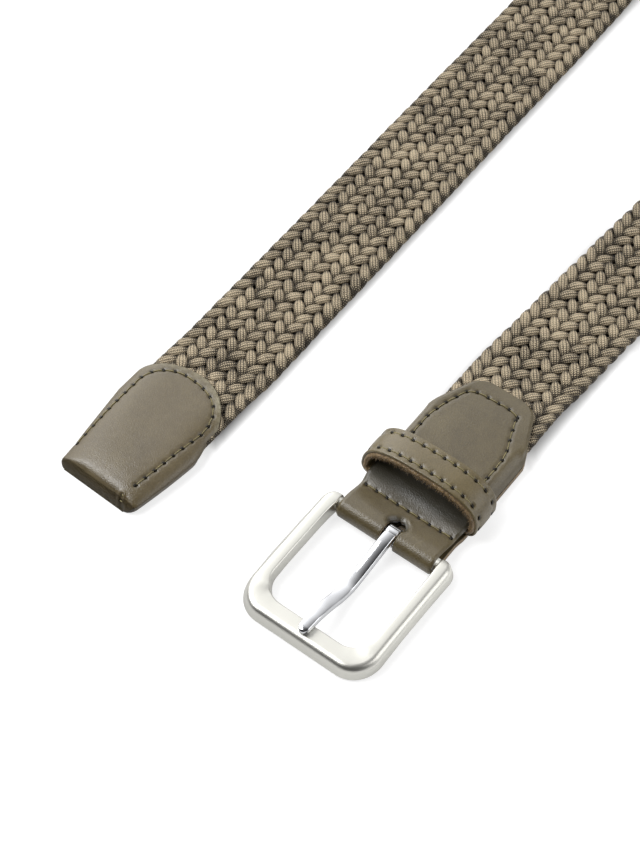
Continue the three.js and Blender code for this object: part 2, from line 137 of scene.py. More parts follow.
def mesh_from(name, points, faces, uvs=None, marks=None):
    """points (n, 3) in mm; faces a list of index arrays, one per face size; uvs the same shapes
    with (u, v) per corner; marks {attribute: value per point}."""
    mesh = bpy.data.meshes.new(name)
    corners = np.concatenate([group.ravel() for group in faces])
    sizes = np.concatenate([np.full(len(group), group.shape[1]) for group in faces])
    mesh.vertices.add(len(points))
    mesh.vertices.foreach_set("co", (points * MM).astype(np.float32).ravel())
    mesh.loops.add(len(corners))
    mesh.loops.foreach_set("vertex_index", corners.astype(np.int32))
    mesh.polygons.add(len(sizes))
    mesh.polygons.foreach_set("loop_start", (np.cumsum(sizes) - sizes).astype(np.int32))
    mesh.polygons.foreach_set("use_smooth", np.ones(len(sizes), bool))
    if uvs is not None:
        layer = mesh.uv_layers.new(name="surface")
        flat = np.concatenate([group.reshape(-1, 2) for group in uvs])
        layer.data.foreach_set("uv", flat.astype(np.float32).ravel())
    mesh.update(calc_edges=True)
    for key, values in (marks or {}).items():
        mark = mesh.attributes.new(key, "FLOAT", "POINT")
        mark.data.foreach_set("value", values.astype(np.float32).ravel())
    mesh.validate()
    return mesh


def piece(name, mesh, body, materials, stands_for=()):
    """An object at the origin that rides on a body and wears the given materials."""
    made = bpy.data.objects.new(name, mesh)
    bpy.context.scene.collection.objects.link(made)
    for material in materials:
        mesh.materials.append(material)
    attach(made, body)
    if stands_for:
        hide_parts(*stands_for)
    triangles = sum(len(p.vertices) - 2 for p in mesh.polygons) if len(mesh.polygons) < 500 else None
    print(f"{name}: {len(mesh.vertices)} points, {triangles or 2 * len(mesh.polygons)} triangles")
    return made


# %% Tubes and sheets
def tube_mesh(name, rings, along, marks=None):
    """rings (tubes, stations, section, 3), each section a closed loop; the ends are fans to the
    section's middle. UV: u = share round the section, v = along (tubes, stations), in mm. marks
    {attribute: (tubes, stations, section) or a shape that stretches to it}."""
    tubes, stations, section, _ = rings.shape
    index = np.arange(tubes * stations * section).reshape(tubes, stations, section)
    nxt = np.roll(index, -1, axis=2)
    quads = np.stack([index[:, :-1], nxt[:, :-1], nxt[:, 1:], index[:, 1:]], -1).reshape(-1, 4)
    middles = rings[:, [0, -1]].mean(axis=2).reshape(-1, 3)
    centre = rings.size // 3 + np.arange(2 * tubes).reshape(tubes, 2, 1) + 0 * index[:, :1]
    first = np.stack([centre[:, 0], nxt[:, 0], index[:, 0]], -1).reshape(-1, 3)
    last = np.stack([centre[:, 1], index[:, -1], nxt[:, -1]], -1).reshape(-1, 3)
    points = np.concatenate([rings.reshape(-1, 3), middles])
    faces = [quads, np.concatenate([first, last])]
    u = np.arange(section) / section
    low, high = along[:, :-1, None] + 0 * u, along[:, 1:, None] + 0 * u
    u = u + 0 * low
    step = 1 / section
    corners = [(u, low), (u + step, low), (u + step, high), (u, high)]
    quad_uv = np.stack([np.stack(pair, -1) for pair in corners], 3).reshape(-1, 4, 2)
    ends = np.stack([along[:, 0], along[:, -1]])[:, :, None] + np.zeros(section)
    end_uv = np.stack([np.broadcast_to(np.arange(section) / section, ends.shape), ends], -1)
    fan_uv = np.repeat(end_uv.reshape(-1, 1, 2), 3, axis=1)
    uvs = [quad_uv, fan_uv]
    if signed_volume(points, faces) < 0:
        faces = [group[:, ::-1] for group in faces]
        uvs = [group[:, ::-1] for group in uvs]
    each = {}
    for key, value in (marks or {}).items():
        full = np.broadcast_to(value, rings.shape[:3])
        each[key] = np.concatenate([full.ravel(), full[:, [0, -1], 0].ravel()])
    return mesh_from(name, points, faces, uvs, each)


def sheet_mesh(name, grid, marks=None, hole=None):
    """grid (rows, columns, 3): the outer side of a sheet, left open, with rows going down where
    columns go right; hole is a mask of the cells left out. UV: (u, v) = the two lengths in mm along
    the middle lines."""
    rows, columns, _ = grid.shape
    index = np.arange(rows * columns).reshape(rows, columns)
    quads = np.stack([index[:-1, :-1], index[1:, :-1], index[1:, 1:], index[:-1, 1:]], -1)
    keep = np.ones((rows - 1, columns - 1), bool) if hole is None else ~hole
    across = np.linalg.norm(np.diff(grid[rows // 2], axis=0), axis=-1)
    down = np.linalg.norm(np.diff(grid[:, columns // 2], axis=0), axis=-1)
    u = np.concatenate([[0], np.cumsum(across)])[None] + np.zeros((rows, 1))
    v = np.concatenate([[0], np.cumsum(down)])[:, None] + np.zeros((1, columns))
    uv = np.stack([u, v], -1).reshape(-1, 2)
    faces = quads[keep]
    used = np.unique(faces)
    renumber = np.zeros(rows * columns, int)
    renumber[used] = np.arange(len(used))
    marks = {key: np.broadcast_to(value, (rows, columns)).ravel()[used]
             for key, value in (marks or {}).items()}
    return mesh_from(name, grid.reshape(-1, 3)[used], [renumber[faces]], [uv[faces]], marks)


def carry(lines, normals, section, scale=None, roll=None):
    """Carries a section (n, 2) of (across, out) along lines (tubes, stations, 3). Each station's
    frame is the tangent T, B = T x N and N = B x T, turned by roll about T."""
    tangent = unit(np.gradient(lines, axis=1))
    side = unit(np.cross(tangent, normals))
    out = np.cross(side, tangent)
    if roll is not None:
        c, s = np.cos(roll)[..., None], np.sin(roll)[..., None]
        side, out = side * c - out * s, out * c + side * s
    offsets = np.broadcast_to(section, lines.shape[:2] + section.shape)
    if scale is not None:
        offsets = offsets * scale[..., None, :]
    return (lines[:, :, None] + side[:, :, None] * offsets[..., :1]
            + out[:, :, None] * offsets[..., 1:])


# %% [markdown]
# ## Materials: shared effects as node groups
#
# The leather's grain, the cord's ribs and the fine lines of the metal are each a node group, so
# that one effect serves several materials with its own values. A group gives colours, masks and
# heights only. The shader itself, with its plain numbers, stays in each material.

# %% Helpers for node trees
def add(tree, kind, inputs=None, **settings):
    """One node with its settings; an input that is a socket is linked, any other is set."""
    made = tree.nodes.new(kind)
    for key, value in settings.items():
        setattr(made, key, value)
    for key, value in (inputs or {}).items():
        if isinstance(value, bpy.types.NodeSocket):
            tree.links.new(value, made.inputs[key])
        else:
            made.inputs[key].default_value = value
    return made


def calc(tree, operation, a, b=0.0, clamp=False):
    """The output of one Math node."""
    made = add(tree, "ShaderNodeMath", {0: a, 1: b}, operation=operation)
    made.use_clamp = clamp
    return made.outputs[0]


def blend_colour(tree, share, a, b):
    """a where share is 0, b where it is 1."""
    made = tree.nodes.new("ShaderNodeMix")
    made.data_type = "RGBA"
    for name, value in (("Factor_Float", share), ("A_Color", a), ("B_Color", b)):
        socket = next(s for s in made.inputs if s.identifier == name)
        if isinstance(value, bpy.types.NodeSocket):
            tree.links.new(value, socket)
        else:
            socket.default_value = value
    return next(s for s in made.outputs if s.identifier == "Result_Color")


def group_tree(name, inputs, outputs):
    """An empty node group with named sockets, and its input and output nodes."""
    tree = bpy.data.node_groups.new(name, "ShaderNodeTree")
    kinds = {"colour": "NodeSocketColor", "number": "NodeSocketFloat", "vector": "NodeSocketVector"}
    for label, kind in inputs.items():
        tree.interface.new_socket(label, in_out="INPUT", socket_type=kinds[kind])
    for label, kind in outputs.items():
        tree.interface.new_socket(label, in_out="OUTPUT", socket_type=kinds[kind])
    return tree, tree.nodes.new("NodeGroupInput"), tree.nodes.new("NodeGroupOutput")


def rgba(red, green, blue):
    """A colour given as it looks on a screen, 0 to 255, as the linear colour that Blender uses."""
    c = np.array([red, green, blue]) / 255
    linear = np.where(c <= 0.04045, c / 12.92, ((c + 0.055) / 1.055) ** 2.4)
    return (*linear.tolist(), 1.0)


# %% Group: the grain, pores and tone of leather
def leather_group():
    """Height = cells of fine grain + pores; tone = slow noise + lightening where the wear mark is; the shade
    and hole marks blend it towards near-black, a painted shade.
    """
    tree, given, result = group_tree(
        "leather_grain",
        {"Colour": "colour", "Dark": "colour", "Worn": "colour", "Wear": "number", "Grain": "number",
         "Holes": "number", "Shade": "number"},
        {"Colour": "colour", "Roughness": "number", "Height": "number"})
    place = add(tree, "ShaderNodeTexCoord").outputs["Object"]
    cells = add(tree, "ShaderNodeTexVoronoi", {"Vector": place, "Scale": given.outputs["Grain"]},
                feature="SMOOTH_F1").outputs["Distance"]
    fine = add(tree, "ShaderNodeTexNoise", {"Vector": place, "Scale": 4200.0, "Detail": 2.0}).outputs[0]
    broad = add(tree, "ShaderNodeTexNoise", {"Vector": place, "Scale": 90.0, "Detail": 4.0,
                                             "Roughness": 0.6}).outputs[0]
    spots = add(tree, "ShaderNodeTexNoise", {"Vector": place, "Scale": 600.0, "Detail": 2.0}).outputs[0]
    height = calc(tree, "ADD", calc(tree, "MULTIPLY", cells, 0.7), calc(tree, "MULTIPLY", fine, 0.5))
    tone = calc(tree, "ADD", calc(tree, "MULTIPLY", broad, 1.3), calc(tree, "MULTIPLY", spots, 0.5))
    tone = calc(tree, "ADD", tone, calc(tree, "MULTIPLY", calc(tree, "SUBTRACT", cells, 0.35), 0.9))
    tone = calc(tree, "SUBTRACT", tone, 0.42, clamp=True)
    colour = blend_colour(tree, tone, given.outputs["Dark"], given.outputs["Colour"])
    crackle = calc(tree, "SUBTRACT", calc(tree, "MULTIPLY", spots, 2.6), 0.75, clamp=True)
    wear = calc(tree, "MULTIPLY", given.outputs["Wear"], crackle, clamp=True)
    colour = blend_colour(tree, wear, colour, given.outputs["Worn"])
    # Painted shade: the shade mark blends the colour towards near-black under the keeper and round the slot.
    colour = blend_colour(tree, given.outputs["Shade"], colour, rgba(36, 34, 25))
    # Painted shade: the hole mark blends the colour towards near-black round each needle hole.
    colour = blend_colour(tree, given.outputs["Holes"], colour, rgba(30, 26, 17))
    rough = calc(tree, "ADD", 0.25, calc(tree, "MULTIPLY", spots, 0.16))
    rough = calc(tree, "ADD", rough, calc(tree, "MULTIPLY", wear, 0.25))
    tree.links.new(colour, result.inputs["Colour"])
    tree.links.new(rough, result.inputs["Roughness"])
    tree.links.new(height, result.inputs["Height"])
    return tree


# %% Group: the ribs and beads of a cord
def cord_group():
    """Ribs = |sin(pi * ribs * u)|, beads = sin(2 pi (v / pitch + half a step on every other rib)),
    with u round the cord and v along it in mm. The colour is painted lighter on rib crowns and bead
    tops and dark in the valleys, a painted highlight and shade, with random tone on top; where the
    cord dives deep in the braid it is painted dark, a painted shade."""
    tree, given, result = group_tree(
        "cord_ribs",
        {"Colour": "colour", "Dark": "colour", "Ribs": "number", "Pitch": "number", "Beads": "number",
         "Sunk": "number"},
        {"Colour": "colour", "Height": "number"})
    uv = add(tree, "ShaderNodeUVMap", uv_map="surface").outputs[0]
    split = add(tree, "ShaderNodeSeparateXYZ", {0: uv})
    turns = calc(tree, "MULTIPLY", split.outputs[0], given.outputs["Ribs"])
    rib = calc(tree, "ABSOLUTE", calc(tree, "SINE", calc(tree, "MULTIPLY", turns, np.pi)))
    odd = calc(tree, "MULTIPLY", calc(tree, "MODULO", calc(tree, "FLOOR", turns), 2.0), 0.5)
    run = calc(tree, "ADD", calc(tree, "DIVIDE", split.outputs[1], given.outputs["Pitch"]), odd)
    slant = calc(tree, "ADD", run, calc(tree, "MULTIPLY", turns, 0.5))
    bead = calc(tree, "SINE", calc(tree, "MULTIPLY", slant, 2 * np.pi))
    place = add(tree, "ShaderNodeTexCoord").outputs["Object"]
    fuzz = add(tree, "ShaderNodeTexNoise", {"Vector": place, "Scale": 2200.0, "Detail": 3.0}).outputs[0]
    broad = add(tree, "ShaderNodeTexNoise", {"Vector": place, "Scale": 120.0, "Detail": 3.0}).outputs[0]
    round_rib = calc(tree, "POWER", rib, 0.6)
    beads = calc(tree, "MULTIPLY", calc(tree, "MULTIPLY", bead, given.outputs["Beads"]), round_rib)
    height = calc(tree, "ADD", round_rib, beads)
    height = calc(tree, "ADD", height, calc(tree, "MULTIPLY", fuzz, 0.35))
    # Painted highlight and shade: rib crowns and bead tops are painted lighter and the valleys between them
    # darker; the fuzz and broad patches add random tone.
    light = calc(tree, "ADD", calc(tree, "MULTIPLY", round_rib, 1.0), calc(tree, "MULTIPLY", beads, 0.7))
    light = calc(tree, "ADD", light, calc(tree, "MULTIPLY", calc(tree, "SUBTRACT", fuzz, 0.5), 1.0))
    patch = calc(tree, "MULTIPLY", calc(tree, "SUBTRACT", broad, 0.5), 1.4)
    light = calc(tree, "SUBTRACT", calc(tree, "ADD", light, patch), 0.12)
    # Painted shade: the colour goes dark where the cord dives deep in the braid.
    light = calc(tree, "SUBTRACT", light, calc(tree, "MULTIPLY", given.outputs["Sunk"], 1.0), clamp=True)
    colour = blend_colour(tree, light, given.outputs["Dark"], given.outputs["Colour"])
    tree.links.new(colour, result.inputs["Colour"])
    tree.links.new(height, result.inputs["Height"])
    return tree


# %% Group: fine lines and smudges on metal
def metal_group():
    """Lines = noise stretched along the part; smudges = slow noise; both only move roughness."""
    tree, given, result = group_tree(
        "metal_lines",
        {"Roughness": "number", "Smudge": "number", "Stretch": "vector"},
        {"Roughness": "number", "Height": "number"})
    place = add(tree, "ShaderNodeTexCoord").outputs["Object"]
    drawn = add(tree, "ShaderNodeMapping", {"Vector": place, "Scale": given.outputs["Stretch"]}).outputs[0]
    lines = add(tree, "ShaderNodeTexNoise", {"Vector": drawn, "Scale": 900.0, "Detail": 3.0}).outputs[0]
    slow = add(tree, "ShaderNodeTexNoise", {"Vector": place, "Scale": 60.0, "Detail": 3.0}).outputs[0]
    smudge = calc(tree, "MULTIPLY", calc(tree, "SUBTRACT", slow, 0.5), given.outputs["Smudge"])
    rough = calc(tree, "ADD", calc(tree, "ADD", given.outputs["Roughness"], smudge),
                 calc(tree, "MULTIPLY", calc(tree, "SUBTRACT", lines, 0.5), given.outputs["Smudge"]))
    tree.links.new(rough, result.inputs["Roughness"])
    tree.links.new(lines, result.inputs["Height"])
    return tree


leather_grain = leather_group()
cord_ribs = cord_group()
metal_lines = metal_group()
print("groups:", [tree.name for tree in bpy.data.node_groups])


# %% The materials
def surface_material(name, group, values, bump, use, **shader):
    """A Principled BSDF fed by one group: use maps shader sockets to group outputs; bump is the
    height's distance in mm; shader holds the plain numbers, set on the sockets themselves."""
    material = bpy.data.materials.new(name)
    material.use_nodes = True
    tree = material.node_tree
    principled = tree.nodes["Principled BSDF"]
    effect = add(tree, "ShaderNodeGroup", node_tree=group)
    for key, value in values.items():
        if isinstance(value, str):
            tree.links.new(add(tree, "ShaderNodeAttribute", attribute_name=value).outputs["Fac"],
                           effect.inputs[key])
        else:
            effect.inputs[key].default_value = value
    for key, output in use.items():
        tree.links.new(effect.outputs[output], principled.inputs[key])
    relief = add(tree, "ShaderNodeBump", {"Height": effect.outputs["Height"], "Strength": 1.0,
                                          "Distance": bump * MM})
    tree.links.new(relief.outputs[0], principled.inputs["Normal"])
    for key, value in shader.items():
        principled.inputs[key.replace("_", " ")].default_value = value
    return material


def leather_material(name, colour, dark, wear=0.0, grain=2900.0, bump=0.085, **shader):
    """Leather: colour and roughness from the grain group, a soft dielectric gloss."""
    values = {"Colour": colour, "Dark": dark, "Worn": rgba(150, 143, 118), "Wear": wear, "Grain": grain,
              "Holes": "holes", "Shade": "shade"}
    use = {"Base Color": "Colour", "Roughness": "Roughness"}
    return surface_material(name, leather_grain, values, bump, use, **{"Specular_IOR_Level": 0.75, **shader})


braid_yarn = surface_material(
    "braid_yarn", cord_ribs,
    {"Colour": rgba(228, 209, 176), "Dark": rgba(56, 48, 36), "Ribs": 10.0, "Pitch": 0.6, "Beads": 0.65,
     "Sunk": "sunk_shade"},
    0.36, {"Base Color": "Colour"}, Roughness=0.65, Sheen_Weight=0.08, Sheen_Roughness=0.5,
    Specular_IOR_Level=0.3)
smooth_leather = leather_material("smooth_leather", rgba(96, 85, 57), rgba(70, 60, 39))
tip_leather = leather_material("tip_leather", rgba(100, 88, 60), rgba(76, 65, 43), wear="rim")
keeper_leather = leather_material("keeper_leather", rgba(108, 95, 63), rgba(84, 73, 46))
cut_edge = leather_material("cut_edge", rgba(158, 132, 94), rgba(88, 70, 46), grain=1400.0, bump=0.2)
# Painted shade: near-black leather for the lenses in the needle holes, standing for the shade inside a
# pierced hole.
needle_hole = leather_material("needle_hole", rgba(26, 22, 14), rgba(16, 13, 8), bump=0.02,
                               Specular_IOR_Level=0.2)
stitch_thread = surface_material(
    "stitch_thread", cord_ribs,
    {"Colour": rgba(156, 145, 102), "Dark": rgba(84, 75, 47), "Ribs": 3.0, "Pitch": 0.5, "Beads": 0.6},
    0.05, {"Base Color": "Colour"}, Roughness=0.55)
satin_nickel = surface_material(
    "satin_nickel", metal_lines, {"Roughness": 0.36, "Smudge": 0.1, "Stretch": (1.0, 0.06, 1.0)},
    0.004, {"Roughness": "Roughness"}, Base_Color=rgba(214, 213, 206), Metallic=1.0)
polished_nickel = surface_material(
    "polished_nickel", metal_lines, {"Roughness": 0.1, "Smudge": 0.06, "Stretch": (1.0, 0.06, 1.0)},
    0.001, {"Roughness": "Roughness"}, Base_Color=rgba(212, 213, 216), Metallic=1.0)
print("materials:", [material.name for material in bpy.data.materials])

# %% [markdown]
# ## The way the strap lies
#
# The strap runs straight out of the tab, flares into a round loop in which it stands on its edge,
# and comes back to lie flat beside itself. The loop is made of straights and arcs, so the place of
# any point of the strap follows from three numbers: how far along it is, how far across, and how
# far above the strap's middle.

# %% The strap's sizes, in mm and radians
BELT_LENGTH = 1060.0
BAR_TO_SEAM = 9.2
BRAID_WIDTHS = (33.2, 34.8)
BRAID_THICKNESS = 4.2
SEWN_THICKNESS = 2.8
SEWN_MIDDLE = 3.0
LEATHER = 1.4
TAB_END = 52.9
TIP_LENGTH = 49.6
TIP_WIDTHS = (28.6, 36.8)
TIP_TAPER = 31.0
ROUTE_LENGTH = BELT_LENGTH - BAR_TO_SEAM


def route_stretches():
    """(length, turn) of each stretch. Offset and radius follow from closing the loop: with the
    strands apart by G, slope s and flare radius R, offset = G/2 + R (cos spread/2 - cos s)."""
    spread, flare, flare_radius, gap = np.radians(4.2), np.radians(12.0), 150.0, 90.5
    tab_turn, tip_turn = np.radians(-4.2), np.radians(-2.0)
    slope = spread / 2 + flare
    fixed = TAB_END + 1 + 16 + 158 + 212 + 16 + TIP_LENGTH + 2
    half_loop = (ROUTE_LENGTH - fixed) / 2
    offset = gap / 2 + flare_radius * (np.cos(spread / 2) - np.cos(slope))
    turn = slope + np.pi / 2
    side = ((half_loop - flare_radius * flare - offset * turn / np.cos(slope))
            / (1 + np.tan(slope) * turn))
    radius = (offset + side * np.sin(slope)) / np.cos(slope)
    flared = (flare_radius * flare, -flare)
    return [(TAB_END + 1, 0.0), (16.0, tab_turn), (158.0, 0.0), flared, (side, 0.0),
            (2 * turn * radius, 2 * turn), (side, 0.0), flared, (212.0, 0.0), (16.0, tip_turn),
            (TIP_LENGTH + 2, 0.0)]


def route(distance):
    """x, y and heading of the middle line: per stretch the chord of its arc, L sin(a/2) / (a/2),
    laid off at half the turn; arrays in, arrays out."""
    x, y, heading = (np.zeros_like(distance) for _ in range(3))
    left = distance.copy()
    for length, turn in route_stretches():
        step = np.clip(left, 0, length)
        half = np.where(turn == 0, 1e-9, turn * step / length / 2 + 1e-9)
        chord = step * np.sin(half) / half
        x = x - chord * np.sin(heading + half)
        y = y + chord * np.cos(heading + half)
        heading = heading + (2 * half if turn else 0)
        left = left - step
    return x, y, heading


def lay(distance, across, above):
    """A point of the strap and the direction of its face: roll turns the section about the
    middle line, and the strap keeps touching the table with its lower edge."""
    x, y, heading = route(distance)
    roll = np.pi / 2 * np.minimum(smoothstep(distance, 138, 313),
                                  smoothstep(ROUTE_LENGTH - distance, 258, 408))
    free = smoothstep(np.minimum(distance - TAB_END, ROUTE_LENGTH - TIP_LENGTH - distance), 0, 16)
    width = mix(*BRAID_WIDTHS, distance / ROUTE_LENGTH)
    height = mix(SEWN_MIDDLE, BRAID_THICKNESS / 2, free)
    height = height + (width - BRAID_THICKNESS) / 2 * np.sin(roll)
    sideways = np.stack([np.cos(heading), np.sin(heading), 0 * heading], -1)
    upright = np.array([0.0, 0.0, 1.0])
    c, s = np.cos(roll)[..., None], np.sin(roll)[..., None]
    to_side = sideways * c - upright * s
    face = sideways * s + upright * c
    middle = np.stack([x, y, height], -1)
    return middle + to_side * across[..., None] + face * above[..., None], face + 0 * middle


print("loop reaches y =", round(float(route(np.array([ROUTE_LENGTH / 2]))[1][0]), 1), "mm")

# %% [markdown]
# ## The braid
#
# The real strap is a flat braid of 17 elastic cords. Each cord runs from edge to edge, over two
# cords and under two, turns round at the edge and runs back. Drawn on the flat strap, a cord is a
# zigzag, and all cords are the same zigzag shifted by one seventeenth, so the whole braid comes
# from one formula. Where a cord turns, its flat section rolls over, like a ribbon round a ruler.
# A woven texture on a plain band would look right only from straight above: here the crowns of the
# cords make the outline and the shadows, so every cord is a real tube.

# %% Paths of the cords
CORDS = 17
LEG = 41.6
CORD_WIDTH = 3.4
CORD_DEPTH = 2.1
BRAID_FROM, BRAID_TO = 21.0, ROUTE_LENGTH - 17.0


def cord_paths(stations):
    """For cord j at distance d: legs t = d / LEG - 2 j / 17, zigzag across = asin(q sin pi(t - 1/2))
    / asin(q), step k = 17 (t mod 1), depth = tanh(-g cos(phase)) / tanh(g); the phase goes through pi
    every two steps, and every two and a half next to an edge."""
    d = np.broadcast_to(np.linspace(BRAID_FROM, BRAID_TO, stations), (CORDS, stations))
    number = np.arange(CORDS)[:, None]
    drift = np.stack([wander(d[0], 23.0, 0.012, 40 + j) for j in range(CORDS)])
    legs = d / LEG - 2 * number / CORDS + drift
    zigzag = np.arcsin(0.993 * np.sin(np.pi * (legs - 0.5))) / np.arcsin(0.993)
    step = CORDS * (legs % 1)
    phase = np.pi * np.interp(step, [0, 2.5, 14.5, 17], [-0.5, 0.5, 6.5, 7.5])
    crown = -np.cos(phase)
    depth = np.tanh(0.7 * crown) / np.tanh(0.7)
    turn = np.round(legs)
    rolled = smoothstep((legs - turn) * CORDS, -0.9, 0.9)
    roll = np.pi * np.where(turn % 2 == 1, rolled, 1 - rolled)
    return d, zigzag, depth, roll


def braid_cords():
    """Lays the cords on the strap: across = zigzag times half the free width, above = depth times
    half the room that the cord leaves in the braid's thickness."""
    d, zigzag, depth, roll = cord_paths(1460)
    free = smoothstep(np.minimum(d - TAB_END, ROUTE_LENGTH - TIP_LENGTH - d), 0, 16)
    squeeze = mix(SEWN_THICKNESS / BRAID_THICKNESS, 1, free)
    from_tip = ROUTE_LENGTH - d
    room = mix(*TIP_WIDTHS, np.clip(from_tip / TIP_TAPER, 0, 1)) - 2 * (LEATHER + 0.2)
    width = np.minimum(mix(*BRAID_WIDTHS, d / ROUTE_LENGTH), room)
    width = width - 3.4 * (1 - smoothstep(d, 31, 42))
    width = width + wander(d[0], 31.0, 0.3, 7) + np.sign(zigzag) * wander(d[0], 19.0, 0.25, 8)
    swell = np.stack([wander(d[0], 9.0, 0.07, 70 + j) for j in range(CORDS)])
    across = zigzag * (width / 2 - CORD_DEPTH / 2)
    above = depth * (BRAID_THICKNESS - CORD_DEPTH) / 2 * squeeze * (1 + swell)
    points, faces = lay(d, across, above)
    thick = squeeze * (1 + 0.6 * swell)
    pinch = 1 - 0.3 * (1 - depth ** 2)
    scale = np.stack([pinch * (1 + swell), thick * (1 + 0 * pinch)], -1)
    run = np.linalg.norm(np.diff(points, axis=1), axis=-1)
    along = np.concatenate([np.zeros((CORDS, 1)), np.cumsum(run, axis=1)], axis=1)
    # Painted shade: the cords are painted dark where they dive deep in the braid.
    sunk_shade = 1 - smoothstep(np.abs(depth), 0.1, 0.9)
    return points, faces, scale, roll, along, sunk_shade


SECTION = 2 * np.pi * np.arange(12) / 12
cord_section = np.stack([CORD_WIDTH / 2 * np.sign(np.cos(SECTION)) * np.abs(np.cos(SECTION)) ** 0.95,
                         CORD_DEPTH / 2 * np.sign(np.sin(SECTION)) * np.abs(np.sin(SECTION)) ** 0.95], -1)
points, faces, scale, roll, along, sunk_shade = braid_cords()
print("one cord measures", round(float(along[:, -1].mean())), "mm along its zigzag")

# %% The cords in four pieces, each well under the triangle limit
for number, chosen in enumerate([slice(0, 5), slice(5, 9), slice(9, 13), slice(13, 17)], 1):
    rings = carry(points[chosen], faces[chosen], cord_section, scale[chosen], roll[chosen])
    rings[..., 2] = np.maximum(rings[..., 2], 0.02)
    mesh = tube_mesh(f"braid_cords_{number}", rings, along[chosen], {"sunk_shade": sunk_shade[chosen][..., None]})
    piece(f"braid_cords_{number}", mesh, "strap", [braid_yarn], ["braid"])

# %% [markdown]
# ## Stitches
#
# Every leather piece is sewn with the same olive thread. A stitch is a short tube from one needle
# hole to the next: it comes out of the hole, lies on the leather and dips into the next hole. The
# holes themselves are pressed into the leather's surface, so the light finds them; a near-black
# lens in each and a dark ring of leather round it are painted shade.

# %% Holes along a seam, and the thread between them
def seam_points(line, pitch):
    """Places about pitch apart along a polyline (n, 2 or 3), its ends included."""
    line = np.array(line, float)
    steps = np.concatenate([[0], np.cumsum(np.linalg.norm(np.diff(line, axis=0), axis=1))])
    count = max(2, int(round(steps[-1] / pitch)) + 1)
    at = np.linspace(0, steps[-1], count)
    return np.stack([np.interp(at, steps, column) for column in line.T], -1)


def nearest(points, places):
    """Distance from each of points (..., 2) to the nearest of places (n, 2)."""
    shape = points.shape[:-1]
    flat = points.reshape(-1, 1, 2)
    far = np.full(len(flat), 1e9)
    for start in range(0, len(places), 16):
        gap = np.linalg.norm(flat - places[start:start + 16], axis=-1).min(axis=1)
        far = np.minimum(far, gap)
    return far.reshape(shape)


def pressed(points, seams, pitch, groove=0.16, hole=0.22):
    """How deep the sewing presses a surface: groove exp(-(d / 0.8)^2) along the seam and
    hole exp(-(d / 0.8)^3) at each needle hole; and a mask of the leather round the holes, a painted
    shade that the leather materials blend towards near-black."""
    depth = np.zeros(points.shape[:-1])
    dark = np.zeros(points.shape[:-1])
    for seam in seams:
        line = nearest(points, seam_points(seam, 0.5))
        holes = nearest(points, seam_points(seam, pitch)[:, :2])
        dent = np.exp(-(holes / 0.8) ** 3)
        depth = np.maximum(depth, groove * np.exp(-(line / 0.8) ** 2) + hole * dent)
        # Painted shade: a ring round each needle hole, for the leather to darken.
        dark = np.maximum(dark, 0.75 * np.exp(-(holes / 0.75) ** 3))
    return depth, dark


def needle_holes(name, places, ups, alongs, long=0.8, wide=0.45):
    """A dark hole in the groove at each place: an ellipse, long by wide, turned by 0.4 from the
    seam, as three rings that close in a shallow lens; its near-black colour is painted shade that
    stands for the depth of a pierced hole."""
    c, s = np.cos(0.4), np.sin(0.4)
    side = unit(np.cross(alongs, ups))
    first, second = alongs * c + side * s, side * c - alongs * s
    angle = 2 * np.pi * np.arange(10) / 10
    size = np.array([1.0, 0.85, 0.4])[None, :, None, None]
    lift = np.array([-0.3, -0.05, 0.0])[None, :, None, None]
    flat = (first[:, None, None] * long * np.cos(angle)[:, None]
            + second[:, None, None] * wide * np.sin(angle)[:, None])
    rings = places[:, None, None] + flat * size + ups[:, None, None] * lift
    mesh = tube_mesh(name, rings, np.broadcast_to(np.array([0, 0.3, 0.6]), rings.shape[:2]))
    return piece(name, mesh, "strap", [needle_hole])


def stitches(name, seams, surface, pitch, radius=0.17):
    """One tube per stitch between neighbouring holes a and b: middle = a + (b - a) t raised by
    lift(t) = 0.46 sin(pi t)^0.5 - 0.42 along the surface's normal; surface(points) gives the
    place and the normal of seam points."""
    starts, ends, ups, holes, hole_ups, hole_alongs = [], [], [], [], [], []
    for seam in seams:
        place, up = surface(seam_points(seam, pitch))
        starts.append(place[:-1])
        ends.append(place[1:])
        ups.append(unit(up[:-1] + up[1:]))
        holes.append(place)
        hole_ups.append(up)
        hole_alongs.append(unit(np.gradient(place, axis=0)))
    needle_holes(name + "_holes", *(np.concatenate(group) for group in (holes, hole_ups, hole_alongs)))
    a, b, up = (np.concatenate(group)[:, None] for group in (starts, ends, ups))
    t = np.linspace(0.04, 0.96, 9)[None, :, None]
    lift = 0.46 * np.sin(np.pi * t) ** 0.5 - 0.42
    jitter = np.random.default_rng(len(a)).uniform(-0.07, 0.07, (len(a), 1, 1))
    side = unit(np.cross(b - a, up))
    lines = mix(a, b, t) + up * lift + side * jitter * np.sin(np.pi * t)
    angle = 2 * np.pi * np.arange(8) / 8
    section = radius * np.stack([np.cos(angle), np.sin(angle)], -1)
    size = 0.55 + 0.45 * np.sin(np.pi * t[..., 0]) ** 0.5
    scale = np.repeat((size + 0 * a[..., 0])[..., None], 2, axis=-1)
    rings = carry(lines, np.broadcast_to(up, lines.shape), section, scale)
    run = np.linalg.norm(b - a, axis=-1)
    mesh = tube_mesh(name, rings, run * t[..., 0])
    return piece(name, mesh, "strap", [stitch_thread])


def finish_sheet(made, thickness, offset=-1.0):
    """Gives a sheet its thickness with Solidify; the rim takes the second material."""
    solid = made.modifiers.new("thickness", "SOLIDIFY")
    solid.thickness = thickness * MM
    solid.offset = offset
    solid.use_even_offset = True
    solid.material_offset_rim = 1
    return made


